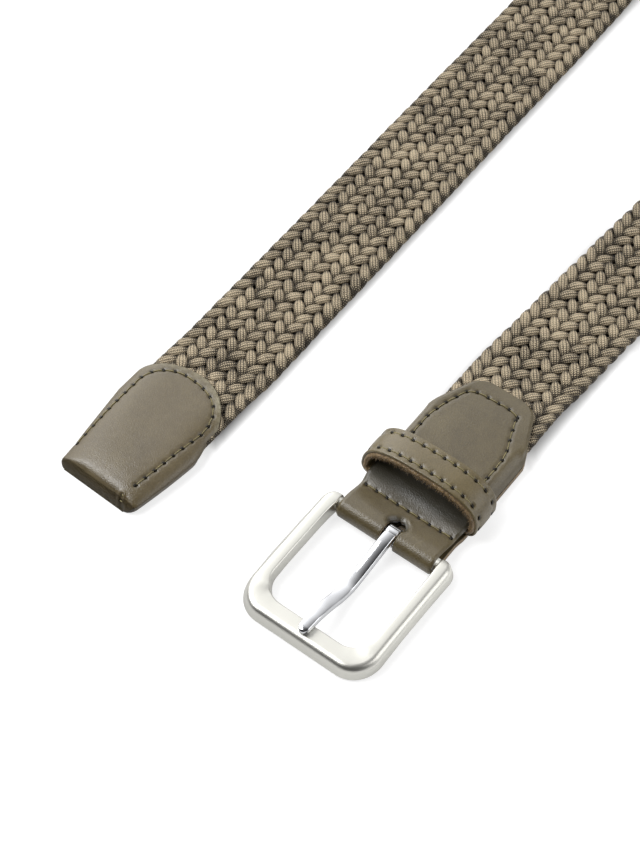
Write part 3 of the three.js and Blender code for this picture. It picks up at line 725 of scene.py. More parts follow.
def normals_of(function, points, step=0.05):
    """Normal of the surface z = function(x, y): (-dz/dx, -dz/dy, 1), made unit length."""
    x, y = points[..., 0], points[..., 1]
    dx = (function(x + step, y) - function(x - step, y)) / (2 * step)
    dy = (function(x, y + step) - function(x, y - step)) / (2 * step)
    return unit(np.stack([-dx, -dy, np.ones_like(dx)], -1))


# %% [markdown]
# ## The leather tab
#
# The tab is one strip of leather. It starts on top of the braid, runs to the buckle, turns round
# the bar and comes back underneath. A slot lets the prong through. It is modelled the same way: a
# grid whose rows follow the strip's side view and whose columns run across it. The stitched
# panel is a little puffed, the seams are pressed in, and on the right the edge rolls down over
# the braid. The grid's columns bend round the slot, so the slot has clean walls.

# %% Shape of the tab
FOLD_WIDTH, TAB_WIDTH, TAB_SHOULDER = 34.4, 35.6, 35.6
BAR_Y, BAR_Z, FOLD_RADIUS = -9.2, 3.7, 3.7
SLOT_X, SLOT_HALF, SLOT_END = 1.0, 2.6, -4.2
STITCH = 3.7
TAB_TOP = [(-9.2, 7.38), (-7.6, 7.24), (-6, 6.9), (-4.2, 6.25), (-2.4, 5.5), (-1, 5.0), (0.2, 4.82),
           (1.4, 4.95), (3, 5.3), (5, 5.6), (8, 5.85), (12, 5.95), (16, 6.0), (44, 6.0), (49, 5.9),
           (52.9, 5.75)]
tab_seams = [
    [(-14.9, 19.5), (-14.9, 32.0), (-13.2, 38.5), (-9.9, 46.9), (-3.5, 47.6), (3.4, 47.9), (7.4, 46.9)],
    [(7.6, 45.6), (9.9, 39.3), (12.2, 33.7), (12.6, 30.0), (12.5, 19.5)],
]
cross_seam = [[(-15.4, 0.2), (15.6, 0.2)]]


def tab_half(y):
    """Half the width: the fold's to the seam, the tab's to the shoulder, then in to the end with
    a quarter ellipse of 4.5 mm at the corner."""
    y = np.asarray(y, float)
    plain = mix(FOLD_WIDTH, TAB_WIDTH, smoothstep(y, 0, 5)) / 2
    share = np.clip((y - TAB_SHOULDER) / (TAB_END - TAB_SHOULDER), 0, 1)
    slope = mix(TAB_WIDTH / 2, 10.1, share)
    corner = np.clip((y - (TAB_END - 3.6)) / 3.6, 0, 1)
    return np.where(y < TAB_SHOULDER, plain, slope) - 4.4 * (1 - np.sqrt(1 - corner ** 2))


def slot_dip(x, y):
    """The leather caves in towards the slot: 1.1 exp(-(d / 1.0)^2), d from the slot's edge, and
    puckers up behind it on the right."""
    round_end = np.hypot(x - SLOT_X, np.maximum(y - (SLOT_END - SLOT_HALF), 0)) - SLOT_HALF
    dip = 1.1 * np.exp(-(np.maximum(round_end, 0) / 1.0) ** 2) * smoothstep(y, -8.8, -6.2)
    pucker = np.hypot(x - SLOT_X - 1.9, y - SLOT_END - 1.0)
    return dip - 0.35 * np.exp(-(pucker / 0.8) ** 2)


def tab_height(x, y):
    """z of the top: the side view's table + a puff in the panel - the rolled edges."""
    z = through(TAB_TOP, y, 0.9)
    puff = np.clip(1 - (x / 15.5) ** 2, 0, 1) * smoothstep(y, 18, 30) * smoothstep(-y, -47.5, -40)
    half = tab_half(y)
    edge = smoothstep(np.abs(x), half - 1.1, half + 0.25) * 0.5
    behind = smoothstep(y, 16.5, 21) * smoothstep(-y, -40, -33)
    right = np.clip((x - 13.6) / 4.2, 0, 1) ** 1.7 * 2.6 * behind
    left = np.clip((-x - 15.4) / 2.4, 0, 1) ** 1.8 * 1.5 * behind
    sag = 0.25 * np.exp(-((y - 2.6) / 2.2) ** 2) * np.cos(x * 0.19)
    return z + 0.35 * puff - edge - right - left - sag - slot_dip(x, y)


def slot_half(y):
    """Half the slot's width: full, then a round end, then closing behind it."""
    round_end = np.sqrt(np.clip(SLOT_HALF ** 2 - (y - (SLOT_END - SLOT_HALF)) ** 2, 0, None))
    inside = np.where(y < SLOT_END - SLOT_HALF, SLOT_HALF, np.maximum(round_end, 0.9))
    return np.where(y < SLOT_END, inside, mix(0.9, SLOT_HALF, smoothstep(y, SLOT_END, SLOT_END + 5)))


def tab_grid():
    """Rows: the top from its end to the bar, the half turn round the bar, the bottom back; columns
    in three blocks, left of the slot, across it and right of it."""
    top = np.concatenate([TAB_END - 0.9 * np.linspace(0, 1, 5)[:-1] ** 1.5, np.linspace(52.0, BAR_Y, 172)])
    turn = np.linspace(0, np.pi, 32)[1:-1]
    bottom = np.concatenate([np.linspace(BAR_Y, 3, 22), np.linspace(4, TAB_END, 34)])
    y = np.concatenate([top, BAR_Y - FOLD_RADIUS * np.sin(turn), bottom])
    blocks = [np.linspace(0, 1, n) for n in (49, 11, 45)]
    edge = tab_half(y)[:, None]
    slot = slot_half(y)[:, None]
    rounded = 1 - (1 - blocks[0]) ** 1.15
    left = mix(-edge, SLOT_X - slot, 1 - rounded[::-1])
    across = mix(SLOT_X - slot, SLOT_X + slot, blocks[1])[:, 1:]
    right = mix(SLOT_X + slot, edge, 1 - (1 - blocks[2]) ** 1.15)[:, 1:]
    x = np.concatenate([left, across, right], axis=1)
    rows = y[:, None] + 0 * x
    z = np.zeros_like(x)
    count = len(top)
    z[:count] = tab_height(x[:count], rows[:count])
    at = np.stack([x[:count], rows[:count]], -1)
    dent, dark = pressed(at, tab_seams + cross_seam, STITCH)
    z[:count] -= dent
    holes, shade = np.zeros_like(z), np.zeros_like(z)
    # Painted shade: the hole mark darkens the leather round each needle hole.
    holes[:count] = dark
    # Painted shade: the top is painted dark from the cross seam back under the keeper, where the keeper
    # shades it, and where it caves in round the slot.
    behind = y[:count, None]
    darker = 0.5 * smoothstep(behind, 0.2, 1.2) + 0.4 * smoothstep(behind, 1.0, 6.0)
    shade[:count] = darker * (behind < 16.5)
    shade[:count] = np.maximum(shade[:count], 0.8 * np.clip(slot_dip(x[:count], rows[:count]), 0, 1))
    soft = 0.5 * smoothstep(np.abs(x), edge - 0.9, edge + 0.2)
    arc = slice(count, count + len(turn))
    radius = 7.38 / 2 - soft[arc]
    rows[arc] = BAR_Y - radius * np.sin(turn)[:, None]
    z[arc] = 7.38 / 2 + radius * np.cos(turn)[:, None]
    low = slice(count + len(turn), None)
    z[low] = 0.02 + 0.4 * soft[low] ** 2
    columns = x.shape[1]
    cells = (y[:-1] + y[1:]) / 2
    in_slot = (cells < SLOT_END)[:, None] & (np.arange(columns - 1) // 1 >= 48)[None] & (
        np.arange(columns - 1) < 58)[None]
    return np.stack([x, rows, z], -1), in_slot, {"holes": holes, "shade": shade}


grid, in_slot, marks = tab_grid()
tab = piece("tab_leather", sheet_mesh("tab_leather", grid, marks, in_slot), "strap",
            [smooth_leather, cut_edge], ["buckle_tab"])
finish_sheet(tab, LEATHER, -1.0)


def tab_surface(points):
    """Place and normal of seam points on the tab's top."""
    z = tab_height(points[:, 0], points[:, 1])
    return np.column_stack([points, z]), normals_of(tab_height, points)


stitches("tab_stitches", tab_seams + cross_seam, tab_surface, STITCH)

# %% [markdown]
# ## The keeper loop
#
# The keeper is a doubled band of leather that arches over the tab. Both ends are tucked in at the
# tab's sides. Its two rows of stitches lie close to the edges, and the edge towards the buckle is
# cut raw: it shows the two layers and the fibre between them. The band's section, a flat ring with
# soft corners, is carried along the arch.

# %% Shape of the keeper
KEEPER_START, KEEPER_BAND, KEEPER_THICKNESS, KEEPER_LEAN = 5.4, 10.6, 2.4, np.tan(np.radians(11))


def keeper_arch(share):
    """x, z of the band's middle: from 0 to 1 along a superellipse (cos^(2/n), sin^(2/n)) with
    n = 2.8, and bends of 2 mm that tuck both ends in between the tab's layers."""
    side, foot, top = 19.8, 5.0, 6.0 + 9.0 - 1.2
    angle = np.linspace(0, np.pi, 181)
    c, s = np.cos(angle), np.sin(angle)
    x = -side * np.sign(c) * np.abs(c) ** (2 / 2.8)
    z = foot + (top - foot) * np.clip(s, 0, 1) ** (2 / 2.8)
    bend = np.linspace(0, np.pi / 2, 9)[:-1]
    left = np.stack([-(side - 2) - 2 * np.sin(bend), foot - 2 * np.cos(bend)], -1)
    tuck = np.array([[-11.0, 3.0], [-14.0, 3.0]])
    half = np.concatenate([tuck, left])
    line = np.concatenate([half, np.stack([x, z], -1), half[::-1] * [-1, 1]])
    line[:, 0] -= 0.5
    run = np.concatenate([[0], np.cumsum(np.linalg.norm(np.diff(line, axis=0), axis=1))])
    return np.stack([np.interp(share * run[-1], run, column) for column in line.T], -1), run[-1]


def keeper_point(share, across, out):
    """A point of the band: out from the arch's middle line along its normal, across from the edge
    towards the buckle; the band leans back as it rises."""
    middle, length = keeper_arch(share)
    ahead, _ = keeper_arch(np.clip(share + 0.002, 0, 1))
    behind, _ = keeper_arch(np.clip(share - 0.002, 0, 1))
    along = unit(ahead - behind)
    x = middle[..., 0] - along[..., 1] * out
    z = middle[..., 1] + along[..., 0] * out
    y = KEEPER_START + across + KEEPER_LEAN * (z - SEWN_MIDDLE)
    return np.stack([x, y, z], -1), length


_, KEEPER_LENGTH = keeper_arch(np.zeros(1))
keeper_seams = [[(10.0, 1.9), (KEEPER_LENGTH - 10, 1.9)], [(10.0, 8.6), (KEEPER_LENGTH - 10, 8.6)]]


def keeper_ring(stations):
    """(stations, section): across 0 to the band's width on the outside, round the far edge, back on
    the inside and round the raw edge, which has a notch between its two layers and frayed fibre."""
    half = KEEPER_THICKNESS / 2
    outside = np.linspace(0.35, KEEPER_BAND - 0.35, 27)
    inside = np.linspace(KEEPER_BAND - 0.35, 0.35, 9)
    far = np.array([[0.12, 0.75], [0.0, 0.35], [0.06, 0.0], [0.0, -0.35], [0.12, -0.75]])
    near = np.array([[0.05, -1.0], [-0.32, -0.8], [-0.42, -0.3], [-0.3, 0.15], [0.35, 0.3], [0.05, 0.42],
                     [-0.02, 0.75], [0.12, 0.97]])
    across = np.concatenate([outside, KEEPER_BAND - far[:, 0], inside, near[:, 0]])
    out = np.concatenate([0 * outside + half, far[:, 1] * half * 1.2, 0 * inside - half, near[:, 1] * half])
    raw = np.concatenate([0 * outside, 0 * far[:, 0], 0 * inside, [1, 1, 1, 1, 0, 0, 0, 0]])
    share = np.linspace(0, 1, stations)[:, None]
    at = np.stack([share * KEEPER_LENGTH + 0 * across, across + 0 * share], -1)
    dent, dark = pressed(at, keeper_seams, STITCH, 0.16, 0.3)
    dip = dent * (out > half - 0.01)
    crown = 0.12 * np.sin(np.pi * across / KEEPER_BAND) * (out > 0)
    fray = np.random.default_rng(3).normal(0, 0.09, (stations, len(across))) * raw
    place, _ = keeper_point(share + 0 * across, across + fray, out - dip + crown + 0.6 * fray)
    # The hole mark is painted shade round the needle holes on the outside of the band.
    return place, share, dark * (out > half - 0.01)


rings, share, holes = keeper_ring(300)
mesh = tube_mesh("keeper_band", rings[None], share.T * KEEPER_LENGTH, {"holes": holes[None]})
keeper = piece("keeper_band", mesh, "strap", [keeper_leather, cut_edge], ["keeper_loop"])
quad_rows = np.arange(299 * 49).reshape(299, 49)
raw_faces = np.zeros(len(mesh.polygons), np.int32)
raw_faces[quad_rows[:, 40:45].ravel()] = 1
mesh.polygons.foreach_set("material_index", raw_faces)


# %% Fibres on the raw edge
def fibre_rings(count):
    """Short hairs from the lower layer's edge: start s, tip s + length (ahead, down), each bent by
    its own seeded amount; three-sided tubes that thin to the tip."""
    chance = np.random.default_rng(12)
    share = np.sort(chance.uniform(0.1, 0.9, count))[:, None]
    out = chance.uniform(-1.15, 0.1, count)[:, None]
    length = chance.uniform(0.25, 0.85, count)[:, None]
    drift = chance.normal(0, 0.45, count)[:, None]
    fall = chance.uniform(0.1, 0.9, count)[:, None]
    t = np.linspace(0, 1, 4)[None]
    across = -0.2 - length * t
    depth = out - fall * length * t ** 1.5
    middle, _ = keeper_point(share + drift * length * t / KEEPER_LENGTH, across, depth)
    angle = 2 * np.pi * np.arange(3) / 3
    section = 0.07 * np.stack([np.cos(angle), np.sin(angle)], -1)
    scale = np.repeat(((1 - 0.6 * t) + 0 * share)[..., None], 2, axis=-1)
    up = np.broadcast_to([0.0, 0.0, 1.0], middle.shape)
    return carry(middle, up, section, scale), length * t


rings, run = fibre_rings(620)
piece("keeper_fibres", tube_mesh("keeper_fibres", rings, run), "strap", [cut_edge])


def keeper_surface(points):
    """Place and normal of seam points (along, across) on the outside of the band."""
    share = points[:, 0] / KEEPER_LENGTH
    place, _ = keeper_point(share, points[:, 1], KEEPER_THICKNESS / 2 - 0.02)
    above, _ = keeper_point(share, points[:, 1], KEEPER_THICKNESS / 2 + 0.5)
    return place, unit(above - place)


stitches("keeper_stitches", keeper_seams, keeper_surface, STITCH)

# %% [markdown]
# ## The leather tip
#
# The free end wears a cap of leather like a thin purse: puffed on top, open with a round mouth
# where the braid goes in, and folded down at its end, with a pinched corner on the right. A grid
# wraps round it from the seam on the right side over the top, the left side and the bottom back to
# the seam, and each column ends at the mouth's arch. The fold at the end is where the top meets a
# steep front face, joined by a soft minimum.

# %% Shape of the tip, in its own place: t across, e from the end
tip_end = [float(value[0]) for value in route(np.array([ROUTE_LENGTH]))]


def tip_place(t, e, z):
    """Turns the tip's own t, e into the model's x, y: the end of the route, heading back along it."""
    x0, y0, heading = tip_end
    c, s = np.cos(heading + np.pi), np.sin(heading + np.pi)
    return np.stack([x0 + c * t - s * e, y0 + s * t + c * e, z + 0 * t], -1)


def tip_sides(e):
    """Left and right half widths: 14.3 mm at the end, 18.4 mm from 31 mm on; rounded corners; on
    the right the leather stops short of the braid's edge from 25 mm on."""
    half = mix(*TIP_WIDTHS, np.clip(e / TIP_TAPER, 0, 1)) / 2
    bulge = 0.5 * np.sin(np.pi * np.clip(e / TIP_TAPER, 0, 1))

    def corner(radius):
        return radius * (1 - np.sqrt(1 - np.clip((radius - e) / radius, 0, 1) ** 2))

    left = half + 0.5 * np.clip(1 - e / 8, 0, 1) - corner(2.0)
    right = half + bulge - corner(3.2) - 2.2 * smoothstep(e, 25.0, 34.0)
    return left, right


def tip_height(t, e):
    """z of the top: soft minimum of the dome, edge + rise (1 - |t/half|^p)^q, and a front that
    rises like a quarter round, so that the end is a plump roll; the left edge is low, the right
    one stands up as a wall."""
    left, right = tip_sides(e)
    half = np.where(t < 0, left, right)
    rise = through([(0, 5.4), (6, 5.9), (12, 6.3), (22, 6.5), (36, 6.35), (49.6, 5.9)], e, 2.0)
    low = through([(0, 2.0), (4, 2.1), (12, 2.6), (50, 3.2)], e, 1.5)
    wall = through([(0, 2.6), (4, 3.1), (12, 3.3), (50, 3.4)], e, 1.5)
    edge = mix(low, wall, smoothstep(t, -8, 8))
    power = through([(0, 2.3), (8, 2.7), (20, 3.6), (50, 4.6)], e, 2.0)
    inside = np.clip(1 - np.abs(t / half) ** power, 0, 1)
    dome = edge + (rise - edge) * inside ** 0.6
    front = through([(0, 0.3), (0.5, 1.7), (1.2, 2.9), (2, 3.85), (2.8, 4.6), (3.6, 5.1), (4.4, 5.45),
                     (5.4, 5.75), (7, 6.1), (9, 6.8), (20, 12)], e, 0.3)
    soft = 0.25
    return -soft * np.logaddexp(-dome / soft, -front / soft)


def tip_mouth(t):
    """e of the mouth's edge: a half ellipse, deeper on the right."""
    depth = np.where(t > 0, 19.0, 15.0)
    return TIP_LENGTH - depth * (1 - np.sqrt(np.clip(1 - (t / 19.6) ** 2, 0, 1)))


tip_seam = [[(-14.6, 8.0), (-15.0, 24.0), (-14.9, 39.2), (-13.1, 42.0), (-10.3, 44.6), (-7.0, 46.2),
             (-3.0, 46.9), (1.0, 46.7), (5.0, 46.0), (8.3, 44.6), (11.3, 42.0), (12.9, 38.6),
             (13.6, 35.0), (13.4, 31.2), (12.8, 27.0), (12.2, 22.0), (11.4, 15.0), (10.2, 7.2)]]


def tip_grid(rows, columns):
    """Rows: along the top from the mouth to the fold at the end, round the fold, and back along the
    bottom; a top row lies at e = mouth * share^1.4. Columns: t from side to side, closer together
    at the sides, where top and bottom bend to meet; on the right they part towards the mouth."""
    sweep = np.linspace(-1, 1, columns)
    sweep = 0.4 * sweep + 0.6 * np.sin(sweep * np.pi / 2)
    reach = tip_mouth(sweep * 18.4)

    def across(e, shorter=0.0):
        left, right = tip_sides(e)
        return np.where(sweep < 0, sweep * left, sweep * (right - shorter))

    e_top = reach * np.linspace(1, 0, rows)[:, None] ** 1.4
    t_top = across(e_top)
    z_top = tip_height(t_top, e_top)
    at = np.stack([t_top, e_top], -1)
    dent, dark = pressed(at, tip_seam, STITCH)
    pinch = nearest(at, seam_points([(8.8, 2.4), (9.4, 1.2), (9.7, 0.5), (10.9, 0.1)], 0.2))
    dent = dent + 0.5 * np.exp(-(pinch / 0.35) ** 2) - 0.3 * np.exp(-((pinch - 0.9) / 0.45) ** 2)
    turn = np.linspace(0, np.pi, 7)[1:-1, None]
    nose = (z_top[-1] - dent[-1]) / 2
    e_fold = -0.08 * np.sin(turn) + 0 * sweep
    z_fold = nose + nose * np.cos(turn)
    e_low = reach * np.linspace(0, 1, 36)[:, None] ** 1.2
    opening = 1.2 * smoothstep(e_low, 25, 33) * (sweep > 0)
    t_low = across(e_low, 1.0 * smoothstep(e_low, 25, 33))
    left, right = tip_sides(e_low)
    brim = tip_height(np.where(sweep < 0, -left, right), e_low) - 0.12 - opening
    z_low = 0.02 + np.maximum(brim, 0.1) * smoothstep(np.abs(sweep), 0.93, 1.0) ** 1.5
    rim = np.exp(-((reach - e_top) / 2.0) ** 2) * mix(0.35, 0.9, smoothstep(t_top, -4, 12))
    blank = np.zeros((len(e_fold) + len(e_low), columns))
    grid = tip_place(np.concatenate([t_top, across(0 * e_fold), t_low]),
                     np.concatenate([e_top, e_fold, e_low]),
                     np.concatenate([z_top - dent, z_fold, z_low]))
    # The hole mark is painted shade round the needle holes.
    return grid, {"rim": np.concatenate([rim, blank]), "holes": np.concatenate([dark, blank])}


grid, marks = tip_grid(165, 106)
tip = piece("tip_leather", sheet_mesh("tip_leather", grid, marks), "strap",
            [tip_leather, cut_edge], ["tip_cap"])
finish_sheet(tip, 1.1, -1.0)
tip.modifiers["thickness"].use_even_offset = False
wall = tip.vertex_groups.new(name="wall")
for vertex in tip.data.vertices:
    from_end = np.cos(tip_end[2]) * (tip_end[1] - vertex.co.y / MM) - np.sin(tip_end[2]) * (
        tip_end[0] - vertex.co.x / MM)
    wall.add([vertex.index], float(smoothstep(abs(from_end), 2.0, 7.0)), "REPLACE")
tip.modifiers["thickness"].vertex_group = "wall"


def tip_surface(points):
    """Place and normal of seam points on the tip's top."""
    z = tip_height(points[:, 0], points[:, 1])
    place = tip_place(points[:, 0], points[:, 1], z)
    local = normals_of(tip_height, points)
    return place, tip_place(local[:, 0], local[:, 1], local[:, 2]) - tip_place(0 * z, 0 * z, 0 * z)


stitches("tip_stitches", tip_seam, tip_surface, STITCH)
stitches("corner_stitches", [[(8.6, 2.6), (9.9, 2.5)], [(8.9, 1.3), (10.2, 1.25)]], tip_surface, 1.3)

# %% [markdown]
# ## The buckle's frame
#
# The frame is one casting: two arms, a wider front bar and the hinge bar inside the leather fold.
# Its section is a slant-sided block with a soft outer edge, so its top shows as a bright flat and
# its outside as a darker wall. The section is carried round the frame's plan; each corner of the
# section is a true arc.

# %% Shape of the frame
FRAME_HEIGHT, FRAME_REACH, ARM_INSIDE, ARM_WIDTH, FRONT_WIDTH = 6.0, 45.5, 17.8, 6.1, 7.8
FRONT_Y, FRAME_CORNER, ARM_ROUNDING, ARM_BACK = -54.7, 6.4, 4.4, -7.2
INNER_CORNER = 7.0
FRAME_LOW = [(-0.1, 0.2), (0, 0.2), (0.25, 0.3), (0.55, 0.32), (0.75, 0.18), (0.88, 0), (1, 0)]
FRAME_HIGH = [(-0.1, 1), (0.55, 1), (0.75, 0.96), (0.88, 0.89), (1, 0.88)]


def frame_line():
    """Middle line x, y, heading and width from the left arm's back to the right arm's: the arm's
    end narrows from outside like a quarter ellipse, and the corners are quarter circles."""
    share = 1 - np.cos(np.linspace(0, np.pi / 2, 14))[:-1]
    arm_x = ARM_INSIDE + ARM_WIDTH / 2
    middle_y = FRONT_Y + FRONT_WIDTH / 2
    end_width = ARM_WIDTH * mix(0.5, 1.0, np.sqrt(1 - (1 - share) ** 2))
    end = np.stack([-ARM_INSIDE - end_width / 2, ARM_BACK - ARM_ROUNDING * share, 0 * share, end_width], -1)
    arm_y = np.linspace(ARM_BACK - ARM_ROUNDING, middle_y + FRAME_CORNER, 60)
    arm = np.stack([0 * arm_y - arm_x, arm_y, 0 * arm_y, 0 * arm_y + ARM_WIDTH], -1)
    angle = np.linspace(0, np.pi / 2, 26)[1:]
    corner = np.stack([-arm_x + FRAME_CORNER * (1 - np.cos(angle)),
                       middle_y + FRAME_CORNER * (1 - np.sin(angle)), angle,
                       mix(ARM_WIDTH, FRONT_WIDTH, smoothstep(angle, 0, np.pi / 2))], -1)
    front_x = np.linspace(-arm_x + FRAME_CORNER, 0, 24)[1:]
    flat = 0 * front_x
    front = np.stack([front_x, flat + middle_y, flat + np.pi / 2, flat + FRONT_WIDTH], -1)
    half = np.concatenate([end, arm, corner, front])
    other = half[-2::-1] * [-1, 1, -1, 1] + [0, 0, np.pi, 0]
    return np.concatenate([half, other])


def arc_corner(centre, radius, start, count):
    """Points of a quarter circle, from the angle start."""
    angle = start + np.linspace(0, np.pi / 2, count)
    return centre + radius * np.stack([np.cos(angle), np.sin(angle)], -1)


def frame_rings():
    """Sections (stations, points): corners of radius 0.6 inside and 2.4 outside on top, 0.9 below,
    the walls slanting in by 0.65 mm a side; rings shrink towards the arms' ends. The inner side
    grows by fill, so that its corners are arcs of radius r = 7 round (cx, cy): with m the distance
    to that centre along the section, half + fill = m - sqrt(m^2 - dx^2 - dy^2 + r^2)."""
    line = frame_line()
    x, y, heading, width = line.T
    along = (BAR_Y - y) / FRAME_REACH
    low = FRAME_HEIGHT * through(FRAME_LOW, along, 0.04)
    high = FRAME_HEIGHT * through(FRAME_HIGH, along, 0.04)
    from_end = np.minimum(np.arange(len(x)), np.arange(len(x))[::-1])
    swell = mix(0.62, 1.0, smoothstep(from_end, -2, 11))
    dx = INNER_CORNER - ARM_INSIDE + np.abs(x)
    dy = INNER_CORNER + FRONT_Y + FRONT_WIDTH - y
    along_section = np.abs(np.cos(heading)) * dx + np.sin(heading) * dy
    root = np.sqrt(np.maximum(along_section ** 2 - dx ** 2 - dy ** 2 + INNER_CORNER ** 2, 0))
    fill = np.where((dx > 0) & (dy > 0), np.maximum(along_section - root - width / 2, 0), 0)
    fill = fill + 0.4 * smoothstep(y, -16, -9)
    sections = []
    for w, bottom, top, grow, more in zip(width, low, high, swell, fill):
        half, slant = w / 2, 0.65
        outer, inner, foot = min(2.4, 0.38 * w), min(0.6, 0.15 * w), min(0.9, 0.2 * w)
        u = half - slant
        corners = [
            arc_corner([u + more - inner, top - inner], inner, 0, 7),
            arc_corner([-(u - outer), top - outer], outer, np.pi / 2, 12),
            arc_corner([-(half - foot), bottom + foot], foot, np.pi, 6),
            arc_corner([half + more - foot, bottom + foot], foot, 1.5 * np.pi, 6),
        ]
        section = np.concatenate(corners)
        middle = (bottom + top) / 2
        section[:, 1] = middle + (section[:, 1] - middle) * grow
        sections.append(section)
    section = np.array(sections)
    across = np.stack([np.cos(heading), np.sin(heading)], -1)[:, None]
    plan = np.stack([x - 0.3, y], -1)[:, None] + across * section[..., :1]
    return np.concatenate([plan, section[..., 1:]], -1)


rings = frame_rings()
length = np.linspace(0, 170, len(rings))[None]
bar_angle = 2 * np.pi * np.arange(28) / 28
bar_x = np.array([-20.2, 20.2])[:, None] + 0 * bar_angle
bar = np.stack([bar_x, BAR_Y + 2.0 * np.cos(bar_angle) + 0 * bar_x,
                BAR_Z + 2.0 * np.sin(bar_angle) + 0 * bar_x], -1)
casting = piece("frame_casting", tube_mesh("frame_casting", rings[None], length), "buckle",
                [satin_nickel], ["buckle_frame"])
piece("hinge_bar", tube_mesh("hinge_bar", bar[None], np.array([[0.0, 40.4]])), "buckle",
      [satin_nickel])

# %% [markdown]
# ## The prong
#
# The prong is a polished pin: an eye round the bar, a shank with a flat top and bevelled sides that
# dips in the middle of the frame, and a rounded nose that rests on the front bar. The shank is a
# section carried along its side view, and the eye is a flat ring.

# %% Shape of the prong
PRONG_REACH, PRONG_WIDTH, PRONG_THICKNESS, PRONG_SET = 43.2, 4.2, 2.4, np.radians(1.3)
PRONG_UP = [(0, 0.97), (0.1, 0.9), (0.26, 0.64), (0.38, 0.47), (0.49, 0.38), (0.6, 0.56), (0.72, 0.93),
            (0.84, 1.14), (0.93, 1.15), (1, 1.13)]
PRONG_WIDE = [(0, 1), (0.26, 1), (0.49, 1.04), (0.6, 1.04), (0.72, 1.02), (0.84, 1.0), (0.93, 0.96), (1, 0.9)]


def prong_turned(points):
    """Turns the prong's own points about the bar by its set and puts them on the bar."""
    c, s = np.cos(-PRONG_SET), np.sin(-PRONG_SET)
    x, y, z = np.moveaxis(points, -1, 0)
    return np.stack([SLOT_X + c * x - s * y, BAR_Y + s * x + c * y, BAR_Z + z], -1)


def prong_shank():
    """Rings along the reach: u half-width, n half-thickness; the nose closes like a circle."""
    nose = 1 - PRONG_WIDTH / 2 / PRONG_REACH
    bend = np.linspace(0, np.pi / 2, 16)[1:]
    along = np.concatenate([np.linspace(0.02, nose, 110), nose + (1 - nose) * np.sin(bend)])
    full = np.concatenate([np.ones(110), np.maximum(np.cos(bend), 0.05)])
    side = np.array([[0.66, 0.91], [0.8, 0.85], [0.87, 0.76], [0.92, 0.6], [0.95, 0.3], [1, -0.3],
                     [0.98, -0.65], [0.88, -0.9], [0.6, -1]])
    crown = np.array([[u, 1 - 0.2 * u * u] for u in (-0.5, -0.35, -0.18, 0, 0.18, 0.35, 0.5)])
    outline = np.concatenate([side, side[::-1] * [-1, 1], crown])
    half = PRONG_WIDTH / 2 * through(PRONG_WIDE, along, 0.05) * full
    up = FRAME_HEIGHT * through(PRONG_UP, along, 0.05) - BAR_Z
    thick = PRONG_THICKNESS / 2 * mix(0.25, 1.0, full)
    x = outline[None, :, 0] * half[:, None]
    z = up[:, None] + outline[None, :, 1] * thick[:, None]
    return prong_turned(np.stack([x, -along[:, None] * PRONG_REACH + 0 * x, z], -1)), along * PRONG_REACH


def prong_eye():
    """A ring round the bar: a soft rectangle carried round a circle; the first and last sections
    are the same, so the ends meet inside the metal."""
    bore, outer, half = 2.3, 3.1, PRONG_WIDTH / 2 - 0.1
    corner = np.concatenate([arc_corner(np.array([half - 0.35, outer - 0.35]), 0.35, 0, 5),
                             arc_corner(np.array([-half + 0.35, outer - 0.35]), 0.35, np.pi / 2, 5),
                             [[-half, bore], [half, bore]]])
    turn = np.linspace(0, 2 * np.pi, 49)[:, None]
    radius = corner[None, :, 1]
    x = corner[None, :, 0] + 0 * turn
    return prong_turned(np.stack([x, radius * np.cos(turn), radius * np.sin(turn)], -1))


rings, run = prong_shank()
shank = piece("prong_shank", tube_mesh("prong_shank", rings[None], run[None]), "prong",
              [polished_nickel], ["prong"])
rings = prong_eye()
piece("prong_eye", tube_mesh("prong_eye", rings[None], np.linspace(0, 20, len(rings))[None]), "prong",
      [polished_nickel])

# %% [markdown]
# ## Table and light
#
# The photograph is a catalogue picture: the belt on a white ground in soft light that comes mostly
# from behind on the left, a smaller lamp high above its front, and little from the right. The sky
# is the big soft light: it glows round one direction and is dim overhead and in front, which gives
# the metal its dark bands. The table glows white to the camera, a painted light that also hides its
# shadows away from the braid; to the belt it is a little greyer, painted lighter towards the back
# and right, and it glows at half in the metal's reflections.

